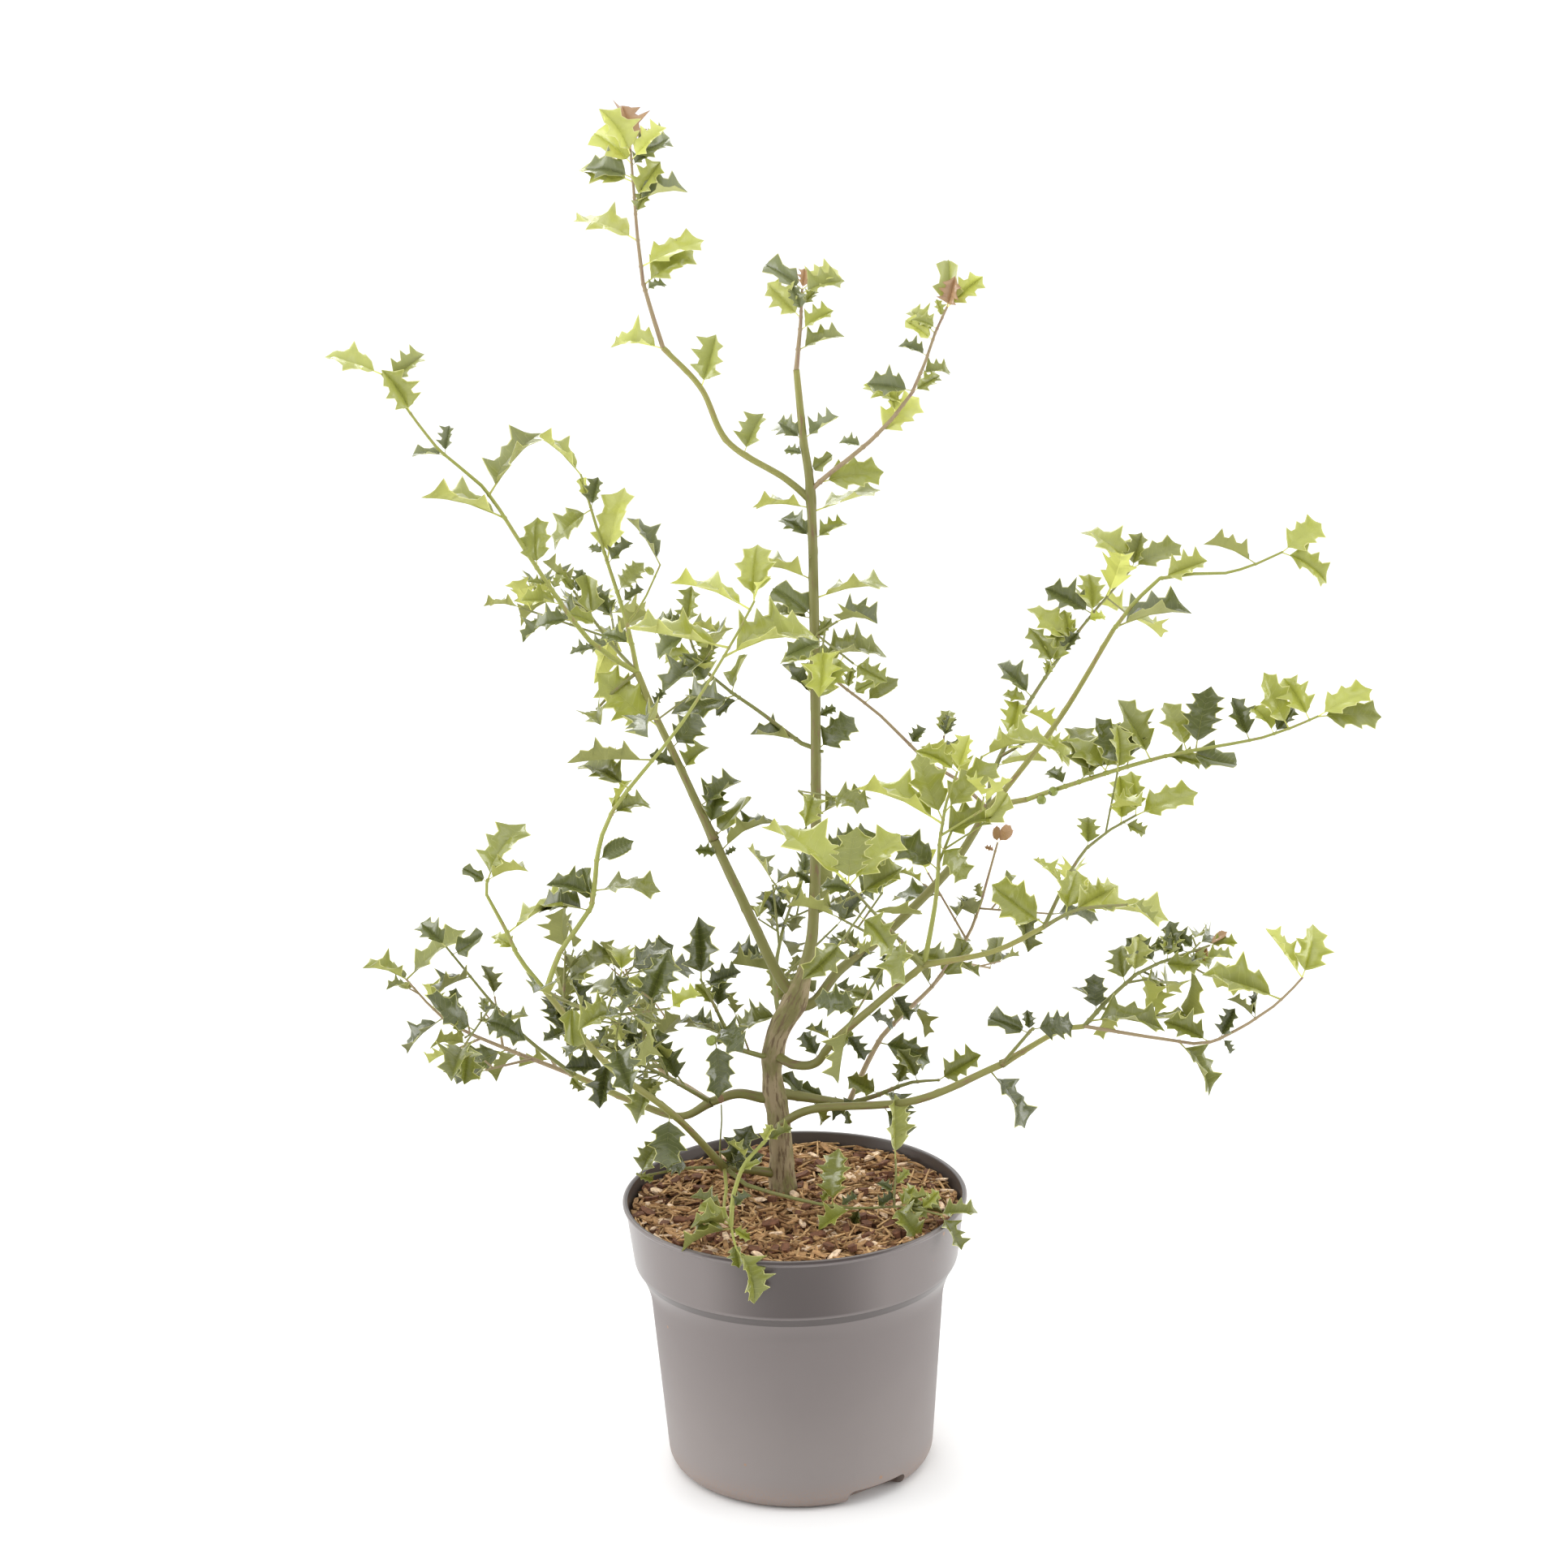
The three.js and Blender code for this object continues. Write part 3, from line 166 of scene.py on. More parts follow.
# Each mass of twigs and leaves has these columns, then the knots of its stem, and on two of them the shares
# of the stem at which berries stand. bare is the share of the stem without twigs, reach and fork are the
# length and angle of its twigs, lift turns them up, leaf is the length of a leaf and gap the way between two.
massColumns = (
    "foot", "bare", "twigs", "reach", "fork", "lift", "leaf", "gap", "seed", "tone", "wood", "knots",
    "fruit",
)
massRows = {
    "tall_left_tip": (
        2.3, 0, 9, 80, 80, -0.1, 46, 21, 668, "young", "green",
        [forks["tallLeftTop"], (-125, 131, 680), (-142, 152, 734), (-160, 178, 794)],
    ),
    "top_left_shoot": (
        2.2, 0.02, 1, 30, 50, 0.2, 56, 30, 750, "pale", "green",
        [forks["tallLeftTop"], (-155, 107, 671), (-197, 95, 740), (-232, 85, 802), (-265, 77, 834),
        (-305, 65, 897)],
    ),
    "left_back": (
        1.8, 0.05, 5, 110, 40, 0, 50, 17, 378, "mature", "olive",
        [forks["tallLeftTop"], (-141, 146, 661), (-170, 178, 697)],
    ),
    "left_side": (
        1.7, 0.15, 2, 45, 55, -0.2, 52, 24, 379, "mature", "olive",
        [forks["tallLeftTop"], (-138, 105, 627), (-160, 95, 605)],
    ),
    "left_spur": (
        1.8, 0.2, 1, 30, 80, 0.1, 48, 24, 206, "mid", "olive",
        [forks["tallLeft"], (-48, 80, 545), (-33, 85, 585)],
    ),
    "left_inner": (
        2, 0.65, 8, 75, 70, -0.1, 52, 15, 133, "mature", "olive",
        [(26, 42, 592), (18, 42, 594), (-18, 53, 621), (-60, 61, 653), (-75, 65, 690)],
    ),
    "crown_top": (
        2, 0, 2, 65, 45, 0.3, 50, 26, 893, "pale", "brown",
        [forks["topLeft"], (-100, 93, 959), (-103, 95, 993), (-106, 95, 1062)],
    ),
    "top_right": (
        2, 0.3, 2, 30, 40, 0.3, 38, 20, 996, "young", "brown",
        [(26, 45, 799), (40, 42, 812), (74, 30, 840), (106, 19, 878), (124, 9, 925), (133, 4, 945)],
    ),
    "leader_tip": (
        2.1, 0.15, 5, 30, 40, 0.3, 42, 22, 251, "young", "brown",
        [(18, 49, 894), (22, 50, 928), (24, 50, 956)],
    ),
    "thin_back": (
        1.6, 0.55, 1, 40, 40, 0, 44, 30, 41, "mid", "brown",
        [forks["right"], (140, 106, 548), (120, 101, 560), (81, 105, 601), (32, 111, 642), (-10, 125, 692)],
    ),
    "right_upper": (
        2.3, 0.12, 7, 60, 75, 0.2, 56, 18, 176, "young", "olive",
        [forks["right"], (171, 128, 541), (204, 160, 594), (253, 200, 650), (299, 235, 692)],
    ),
    "right_middle_tip": (
        1.8, 0.1, 3, 60, 40, 0.3, 48, 34, 445, "pale", "green",
        [forks["rightMiddle"], (304, 80, 715), (358, 65, 721), (398, 55, 739)],
    ),
    "right_outer_tip": (
        2.1, 0.15, 6, 45, 55, 0.3, 54, 20, 186, "young", "green",
        [forks["rightOuter"], (225, 70, 547), (301, 30, 581), (376, -5, 604), (415, -25, 625)],
        (0.06, 0.12),
    ),
    "right_front_tip": (
        1.7, 0, 4, 90, 70, -0.1, 40, 30, 587, "pale", "olive",
        [forks["rightFrontOuter"], (220, -115, 502), (255, -142, 513)],
    ),
    "right_front_upper": (
        1.7, 0.2, 2, 65, 55, -0.2, 40, 24, 995, "young", "olive",
        [forks["rightFrontOuter"], (230, -60, 532), (273, -35, 552)],
    ),
    "right_inner_shoot": (
        2.3, 0.3, 9, 110, 50, 0.3, 58, 24, 849, "pale", "green",
        [forks["rightFront"], (115, -70, 499), (118, -75, 547), (123, -77, 577), (132, -80, 603)],
    ),
    "rosette": (
        2, 0.05, 6, 70, 60, 0.2, 56, 20, 30, "young", "olive",
        [forks["rightFront"], (72, -98, 491), (46, -138, 534)],
    ),
    "right_centre": (
        1.8, 0.15, 7, 70, 80, 0, 52, 20, 318, "mature", "olive",
        [forks["rightFront"], (75, -60, 462), (40, -45, 478)],
    ),
    "brown_shoot": (
        2.5, 0.25, 7, 95, 80, 0.3, 46, 24, 343, "mid", "brown",
        [forks["rightLowBack"], (77, 92, 332), (116, 120, 359), (154, 150, 401), (179, 172, 472)],
    ),
    "right_low_back_tip": (
        2.4, 0, 6, 55, 40, 0.3, 46, 30, 17, "mature", "olive",
        [forks["rightLowBack"], (70, 55, 292), (95, 40, 308), (128, 20, 317)],
    ),
    "right_low_middle": (
        1.6, 0.15, 1, 25, 50, 0, 42, 24, 264, "mid", "olive",
        [forks["rightLow"], (197, -105, 409), (232, -135, 385)],
    ),
    "right_low_upper": (
        1.9, 0.1, 7, 45, 45, -0.2, 48, 20, 637, "mid", "olive",
        [forks["rightLowOuter"], (272, -45, 425), (333, -20, 439)],
    ),
    "right_low_tip": (
        1.6, 0.4, 1, 35, 65, -0.1, 46, 40, 957, "pale", "brown",
        [forks["rightLowOuter"], (292, -95, 388), (325, -110, 391), (367, -132, 426), (386, -148, 454)],
    ),
    "left_low_back": (
        2.6, 0.4, 4, 50, 45, 0.3, 44, 24, 226, "mature", "brown",
        [forks["leftLow"], (-90, 82, 296), (-116, 130, 298), (-140, 178, 369)],
    ),
    "left_low_tip": (
        2.2, 0, 6, 55, 65, 0.3, 46, 20, 965, "mid", "brown",
        [forks["leftLowOuter"], (-244, 85, 334), (-286, 90, 355), (-317, 95, 390)],
    ),
    "left_low_middle": (
        1.9, 0, 6, 80, 65, 0.2, 52, 27, 443, "mature", "olive",
        [forks["leftLowOuter"], (-185, 55, 365), (-180, 35, 430)],
    ),
    "left_low_upper": (
        1.9, 0.05, 4, 135, 70, 0, 48, 20, 123, "mature", "olive",
        [forks["leftLowOuter"], (-225, 40, 365), (-275, 25, 440)],
    ),
    "left_low_inner": (
        2, 0.25, 6, 60, 40, 0.3, 46, 22, 476, "mature", "olive",
        [forks["leftLow"], (-109, 5, 336), (-149, -25, 369)],
    ),
    "left_front_inner": (
        1.8, 0, 7, 50, 75, -0.2, 48, 18, 134, "mature", "olive",
        [forks["leftFront"], (-144, -115, 428), (-89, -155, 445)],
    ),
    "left_front_tip": (
        2.1, 0, 4, 45, 80, 0, 41, 28, 62, "young", "green",
        [forks["leftFront"], (-207, -90, 466), (-216, -93, 491), (-230, -95, 522), (-217, -95, 559)],
    ),
    "left_arch": (
        2.3, 0.5, 4, 35, 70, 0.2, 66, 42, 978, "pale", "green",
        [forks["leftFront"], (-174, -94, 474), (-149, -103, 510), (-143, -111, 549), (-129, -119, 590),
        (-74, -136, 661), (-31, -146, 730), (-18, -148, 754)],
    ),
    "centre_left": (
        2.4, 0.2, 6, 60, 60, -0.1, 52, 18, 561, "mature", "olive",
        [(-14, 38, 337), (-24, 30, 338), (-43, 15, 350), (-60, -10, 396), (-72, -25, 428)], (0.48, 0.56),
    ),
    "pot_right": (
        2, 0.65, 2, 55, 70, 0.3, 42, 22, 686, "mid", "olive",
        [forks["leftFoot"], (-39, 5, 236), (26, -38, 234), (62, -45, 234), (84, -48, 236)],
    ),
    "pot_left": (
        1.6, 0.15, 1, 20, 65, 0.3, 44, 32, 51, "mature", "olive",
        [forks["leftFoot"], (-91, 5, 252), (-124, -5, 250), (-134, 0, 255)],
    ),
    "pot_front": (
        1.6, 0.3, 1, 45, 55, 0.2, 44, 26, 782, "young", "green",
        [forks["leftFoot"], (-55, -15, 242), (-57, -50, 240), (-50, -105, 245)],
    ),
    "leader_foot": (
        1.3, 0.3, 1, 40, 45, -0.1, 42, 24, 967, "mid", "olive",
        [(21, 37, 456), (35, 33, 462), (56, 26, 474)],
    ),
    "leader_low": (
        1.3, 0.3, 4, 45, 75, -0.2, 42, 24, 953, "mature", "olive",
        [(25, 39, 543), (20, 32, 552), (5, 20, 570)],
    ),
    "leader_fan": (
        1.4, 0.3, 1, 25, 50, 0.1, 48, 32, 181, "mature", "olive",
        [(26, 41, 590), (45, 32, 592), (90, 22, 598)],
    ),
    "leader_middle": (
        1.3, 0.15, 4, 40, 70, -0.2, 42, 18, 549, "mid", "olive",
        [(27, 43, 680), (30, 34, 688), (45, 20, 700)],
    ),
    "leader_upper": (
        1.3, 0.1, 4, 60, 60, -0.2, 52, 32, 953, "mature", "olive",
        [(27, 44, 745), (20, 36, 753), (5, 28, 775)],
    ),
    "leader_high": (
        1.3, 0.15, 2, 40, 70, -0.1, 36, 20, 45, "mature", "olive",
        [(23, 46, 836), (10, 48, 845), (-10, 50, 862)],
    ),
    "back_low": (
        2.2, 0.2, 5, 70, 50, 0.1, 46, 18, 412, "mature", "olive",
        [(-8, 40, 362), (-12, 82, 384), (-4, 132, 414), (12, 178, 440)],
    ),
}

masses = {name: dict(zip(massColumns, row)) for name, row in massRows.items()}


# The growing rule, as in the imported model. It draws numbers from 0 to 1 that are the same each time for
# the same seed.
def seeded(seed):
    state = seed & 0xFFFFFFFF

    def draw():
        nonlocal state
        state = (state + 0x6D2B79F5) & 0xFFFFFFFF
        t = ((state ^ (state >> 15)) * (state | 1)) & 0xFFFFFFFF
        t ^= (t + (((t ^ (t >> 7)) * (t | 61)) & 0xFFFFFFFF)) & 0xFFFFFFFF
        return ((t ^ (t >> 14)) & 0xFFFFFFFF) / 4294967296

    return draw


def unit(v):
    return v / math.sqrt(v @ v)


def around(middle, spread, draw):
    return middle + spread * (2 * draw() - 1)


# A smooth line through the knots, with even steps between each two.
def smoothPath(knots, spacing):
    k = [np.array(p, float) for p in knots]
    k = [2 * k[0] - k[1]] + k + [2 * k[-1] - k[-2]]
    points = [k[1]]
    for i in range(1, len(k) - 2):
        p0, p1, p2, p3 = k[i - 1:i + 3]
        steps = max(1, math.floor(math.dist(p1, p2) / spacing + 0.5))
        for j in range(1, steps + 1):
            u = j / steps
            rest = (2 * p0 - 5 * p1 + 4 * p2 - p3) * u * u + (3 * p1 - p0 - 3 * p2 + p3) * u * u * u
            points.append(0.5 * (2 * p1 + (p2 - p0) * u + rest))
    return points


# A limb or twig: a line of points whose radius falls evenly from its foot to its end.
class Shoot:
    def __init__(self, points, footRadius, endRadius):
        self.points = points
        self.footRadius = footRadius
        self.endRadius = endRadius
        self.reached = [0.0]
        for a, b in zip(points, points[1:]):
            self.reached.append(self.reached[-1] + math.dist(a, b))
        self.length = self.reached[-1]

    def at(self, distance):
        i = 0
        while i < len(self.points) - 2 and self.reached[i + 1] < distance:
            i += 1
        a, b = self.points[i], self.points[i + 1]
        share = (distance - self.reached[i]) / (self.reached[i + 1] - self.reached[i])
        return a + (b - a) * share, unit(b - a)

    def radius(self, distance):
        return self.footRadius + (self.endRadius - self.footRadius) * distance / self.length

    def samples(self, spacing=limbSpacing):
        count = max(4, int(self.length / spacing) + 1)
        return np.array([self.at(d)[0] for d in np.linspace(0.001, self.length - 0.001, count)])


def sideways(along):
    reference = up if abs(along[2]) < 0.9 else np.array([1.0, 0.0, 0.0])
    first = unit(np.cross(reference, along))
    return first, np.cross(along, first)


def branchDirection(along, turn, opening, lift):
    first, second = sideways(along)
    side = first * math.cos(turn) + second * math.sin(turn)
    return unit(along * math.cos(opening) + side * math.sin(opening) + up * lift)


branching = dict(last=0.92, shortening=0.45, thickness=0.75, place=0.2, opening=0.2, length=0.3)
leafing = dict(
    opening=76, tipOpening=34, closing=20, openingVaries=12, lift=0.05, faceUp=0.8, faceAlong=0.45,
    faceVaries=0.55, size=0.97, sizeVaries=0.25, firstSize=0.85, firstGap=0.3, tipInset=0.5, seed=500,
)


def growTwigs(mass):
    draw = seeded(mass["seed"])
    stem = Shoot(smoothPath(mass["knots"], stemSpacing), mass["foot"], stemEnd)
    shoots = [stem]
    turn = draw() * 2 * math.pi
    for i in range(mass["twigs"]):
        share = (i + around(0.5, branching["place"], draw)) / mass["twigs"]
        distance = stem.length * (mass["bare"] + (branching["last"] - mass["bare"]) * share)
        point, along = stem.at(distance)
        turn += goldenAngle
        opening = math.radians(mass["fork"]) * around(1, branching["opening"], draw)
        direction = branchDirection(along, turn, opening, mass["lift"])
        length = mass["reach"] * (1 - branching["shortening"] * share) * around(1, branching["length"], draw)
        thickness = min(stem.radius(distance) * branching["thickness"], thickestTwig)
        shoots.append(Shoot([point, point + direction * length], thickness, twigEnd))
    return shoots


def growLeaves(mass, shoots, seed, leafLength, gap):
    draw = seeded(seed)
    s = leafing
    leaves = []
    for index, shoot in enumerate(shoots):
        start = s["firstGap"] * gap if index else shoot.length * mass["bare"]
        count = math.floor((shoot.length - start) / gap)
        turn = draw() * 2 * math.pi
        for i in range(count + 1):
            last = i == count
            distance = min(shoot.length if last else start + gap * (i + 0.5), shoot.length - s["tipInset"])
            root, along = shoot.at(distance)
            turn += goldenAngle
            base = s["tipOpening" if last else "opening"] - s["closing"] * distance / shoot.length
            opening = math.radians(around(base, s["openingVaries"], draw))
            direction = branchDirection(along, turn, opening, s["lift"])
            face = np.array([around(0, s["faceVaries"], draw) for _ in range(3)])
            face = face + up * s["faceUp"] + along * s["faceAlong"]
            face = unit(face - direction * (face @ direction))
            size = around(s["size"], s["sizeVaries"], draw) * (1 if i else s["firstSize"])
            leaves.append(dict(
                root=root, direction=direction, across=np.cross(direction, face), face=face,
                length=leafLength * size, share=distance / shoot.length, shoot=shoot,
            ))
    return leaves


# What twigs and leaves keep clear of: limbs, the space of other masses, and the pot.
leafWidth = 0.5
limbClearance = dict(twig=3, leaf=2.5)
spaceMargin = dict(twig=2, leaf=1.2)
potKeepOut = dict(lowest=180, bodyTop=200, soil=221, wallFrom=130, wallTo=143, wallTop=232, inner=136)


def clearOfPot(points):
    s = potKeepOut
    r = np.hypot(points[:, 0], points[:, 1])
    z = points[:, 2]
    inside = (r < s["inner"]) & (z < s["soil"])
    wall = (r >= s["wallFrom"]) & (r < s["wallTo"]) & (z < s["wallTop"])
    low = (z < s["lowest"]) | ((r < s["wallTo"]) & (z < s["bodyTop"]))
    return not (inside | wall | low).any()


def nearest(points, others):
    return np.sqrt(((points[:, None, :] - others[None, :, :]) ** 2).sum(-1)).min(1)


def trunkRadius(height):
    return float(np.interp(height, *zip(*trunkRadii)))


def limbSamples():
    rows = [(*p, trunkRadius(p[2])) for p in smoothPath(trunkKnots, limbSpacing)]
    for bough in boughs.values():
        limb = Shoot(smoothPath(bough["knots"], limbSpacing), bough["foot"], bough["end"])
        rows += [(*p, limb.radius(d)) for p, d in zip(limb.points, limb.reached)]
    return np.array(rows)


def clearOfLimbs(points, limbs, clearance):
    gaps = np.sqrt(((points[:, None, :] - limbs[None, :, :3]) ** 2).sum(-1)) - limbs[None, :, 3]
    return gaps.min() > clearance


# Whether a twig or leaf is clear of pot and limbs, and nearer to its own mass than to the others.
def fits(points, own, others, limbs, kind):
    if not clearOfPot(points) or not clearOfLimbs(points, limbs, limbClearance[kind]):
        return False
    return (nearest(points, own) < nearest(points, others) - spaceMargin[kind]).all()


def leafPoints(leaf):
    half = leafWidth / 2
    spots = [
        (0.3, 0, 0), (0.65, 0, 0), (1, 0, 0), (0.5, half, 0.05), (0.5, -half, 0.05), (0.25, half / 2, 0),
        (0.25, -half / 2, 0), (0.75, half / 2, 0), (0.75, -half / 2, 0),
    ]
    return np.array([
        leaf["root"] + leaf["length"] * (leaf["direction"] * y + leaf["across"] * x + leaf["face"] * z)
        for y, x, z in spots
    ])


# Finer shoots, which stay within the reach of their mass.
finer = dict(
    gap=30, gapVaries=0.3, footGap=12, tipGap=8, reach=30, reachVaries=0.4, shortening=0.4, fork=52,
    forkVaries=14, lift=0.15, foot=0.9, end=0.6, leaf=0.68, leafGap=11, within=17, seed=7000,
)


def growFiner(mass, g, others, limbs):
    s = finer
    own = np.concatenate(g["near"])
    reach = np.concatenate([leafPoints(leaf) for leaf in g["leaves"]] + [own])
    seed = mass["seed"] + s["seed"]
    draw = seeded(seed)
    g["fineTwigs"] = []
    for index, shoot in enumerate(g["shoots"]):
        distance = s["footGap"] if index else max(shoot.length * mass["bare"], s["footGap"])
        turn = draw() * 2 * math.pi
        while distance < shoot.length - s["tipGap"]:
            point, along = shoot.at(distance)
            turn += goldenAngle
            opening = math.radians(around(s["fork"], s["forkVaries"], draw))
            direction = branchDirection(along, turn, opening, s["lift"])
            length = around(1, s["reachVaries"], draw) * s["reach"]
            length *= 1 - s["shortening"] * distance / shoot.length
            twig = Shoot([point, point + direction * length], s["foot"], s["end"])
            distance += s["gap"] * around(1, s["gapVaries"], draw)
            outer = twig.samples()[1:]
            if fits(outer, own, others, limbs, "twig") and nearest(outer, reach).max() < s["within"]:
                g["fineTwigs"].append(twig)
    leafLength = mass["leaf"] * s["leaf"]
    leaves = growLeaves(dict(mass, bare=0.0), g["fineTwigs"], seed + 1, leafLength, s["leafGap"])
    own = np.concatenate([own] + [twig.samples() for twig in g["fineTwigs"]])
    g["fineLeaves"] = []
    for leaf in leaves:
        points = leafPoints(leaf)
        if fits(points, own, others, limbs, "leaf") and nearest(points, reach).max() < s["within"]:
            g["fineLeaves"].append(leaf)


# The twigs and leaves of every mass that fit, then its finer shoots.
def growMasses():
    limbs = limbSamples()
    grown = {}
    for name, mass in masses.items():
        shoots = growTwigs(mass)
        grown[name] = dict(wanted=shoots, shoots=[shoots[0]], near=[shoots[0].samples()])

    def aroundOf(name):
        return np.concatenate([s for other, g in grown.items() if other != name for s in g["near"]])

    for name, g in grown.items():
        stem = g["wanted"][0].samples()
        others = aroundOf(name)
        for twig in g["wanted"][1:]:
            samples = twig.samples()
            if fits(samples[2:], stem, others, limbs, "twig"):
                g["shoots"].append(twig)
                g["near"].append(samples)
    for name, g in grown.items():
        mass = masses[name]
        own, others = np.concatenate(g["near"]), aroundOf(name)
        leaves = growLeaves(mass, g["shoots"], mass["seed"] + leafing["seed"], mass["leaf"], mass["gap"])
        g["leaves"] = [leaf for leaf in leaves if fits(leafPoints(leaf), own, others, limbs, "leaf")]
        growFiner(mass, g, others, limbs)
    return grown


grown = growMasses()
print("grown:", sum(len(g["leaves"]) for g in grown.values()), "leaves and",
      sum(len(g["fineLeaves"]) for g in grown.values()), "on finer twigs")

# How the headings of placed leaves are seen from the front, how such a leaf faces, sits on its limb and
# varies, and how near a leaf of the rule makes room for it.
leafView = dict(
    right=(1, 0, 0), up=(0, 0.26, 0.966), near=(0, -0.966, 0.26), faceNear=0.8, faceUp=0.6, footGap=0.01,
    tipGap=0.3, outwards=0.6, leastCosine=0.6, leanVaries=16, rollVaries=18, middle=0.55, swap=34, seed=4100,
)

# Extra shoots: the limb they leave, the share along it, their headings from foot to end, their lean towards
# the front, length and radius at the foot.
shootTaper = 0.7
extraShoots = dict(
    potRiser=dict(limb="pot_front", share=0.97, headings=(6, 22, 44), lean=-8, length=76, foot=2.0),
    budTwig=dict(limb="pot_left", share=0.03, headings=(-4, 8, 0), lean=4, length=52, foot=0.9),
    tallSide=dict(limb="tall_left_tip", share=0.24, headings=(40, 28, 26), lean=6, length=56, foot=1.0),
    backUpright=dict(limb="thin_back", share=0.2, headings=(-6, 6, 4), lean=-6, length=30, foot=1.1),
    potOver=dict(limb="pot_front", share=0.99, headings=(165, 160), lean=65, length=30, foot=1.2),
    rimOver=dict(limb="pot_right", share=0.99, headings=(96, 102), lean=30, length=40, foot=1.1),
    potUpright=dict(limb="pot_right", share=0.97, headings=(2, 8, 0), lean=-6, length=38, foot=1.1),
)

# The share of the rule's own leaves that stays on a mass, where that isn't all of them.
keptShare = dict(
    crown_top=0.0, leader_tip=0.0, top_left_shoot=0.0, top_right=0.1, right_middle_tip=0.0, left_arch=0.15,
    right_outer_tip=0.3, right_low_tip=0.25, left_front_tip=0.15, tall_left_tip=0.4, right_upper=0.5,
    thin_back=0.2, left_spur=0.3, left_side=0.5, leader_low=0.4, leader_fan=0.3, leader_middle=0.5,
    leader_upper=0.4, leader_high=0.4, leader_foot=0.6, pot_right=0.2, pot_left=0.2, pot_front=0.2,
    right_front_tip=0.45, right_low_middle=0.25, right_inner_shoot=0.3, rosette=0.35, left_inner=0.6,
    right_front_upper=0.45, left_low_tip=0.75, brown_shoot=0.7, right_centre=0.75, left_low_back=0.8,
    left_low_upper=0.8, left_front_inner=0.75, centre_left=0.65, back_low=0.75, left_low_middle=0.9,
    left_low_inner=0.8, right_low_back_tip=0.5,
)

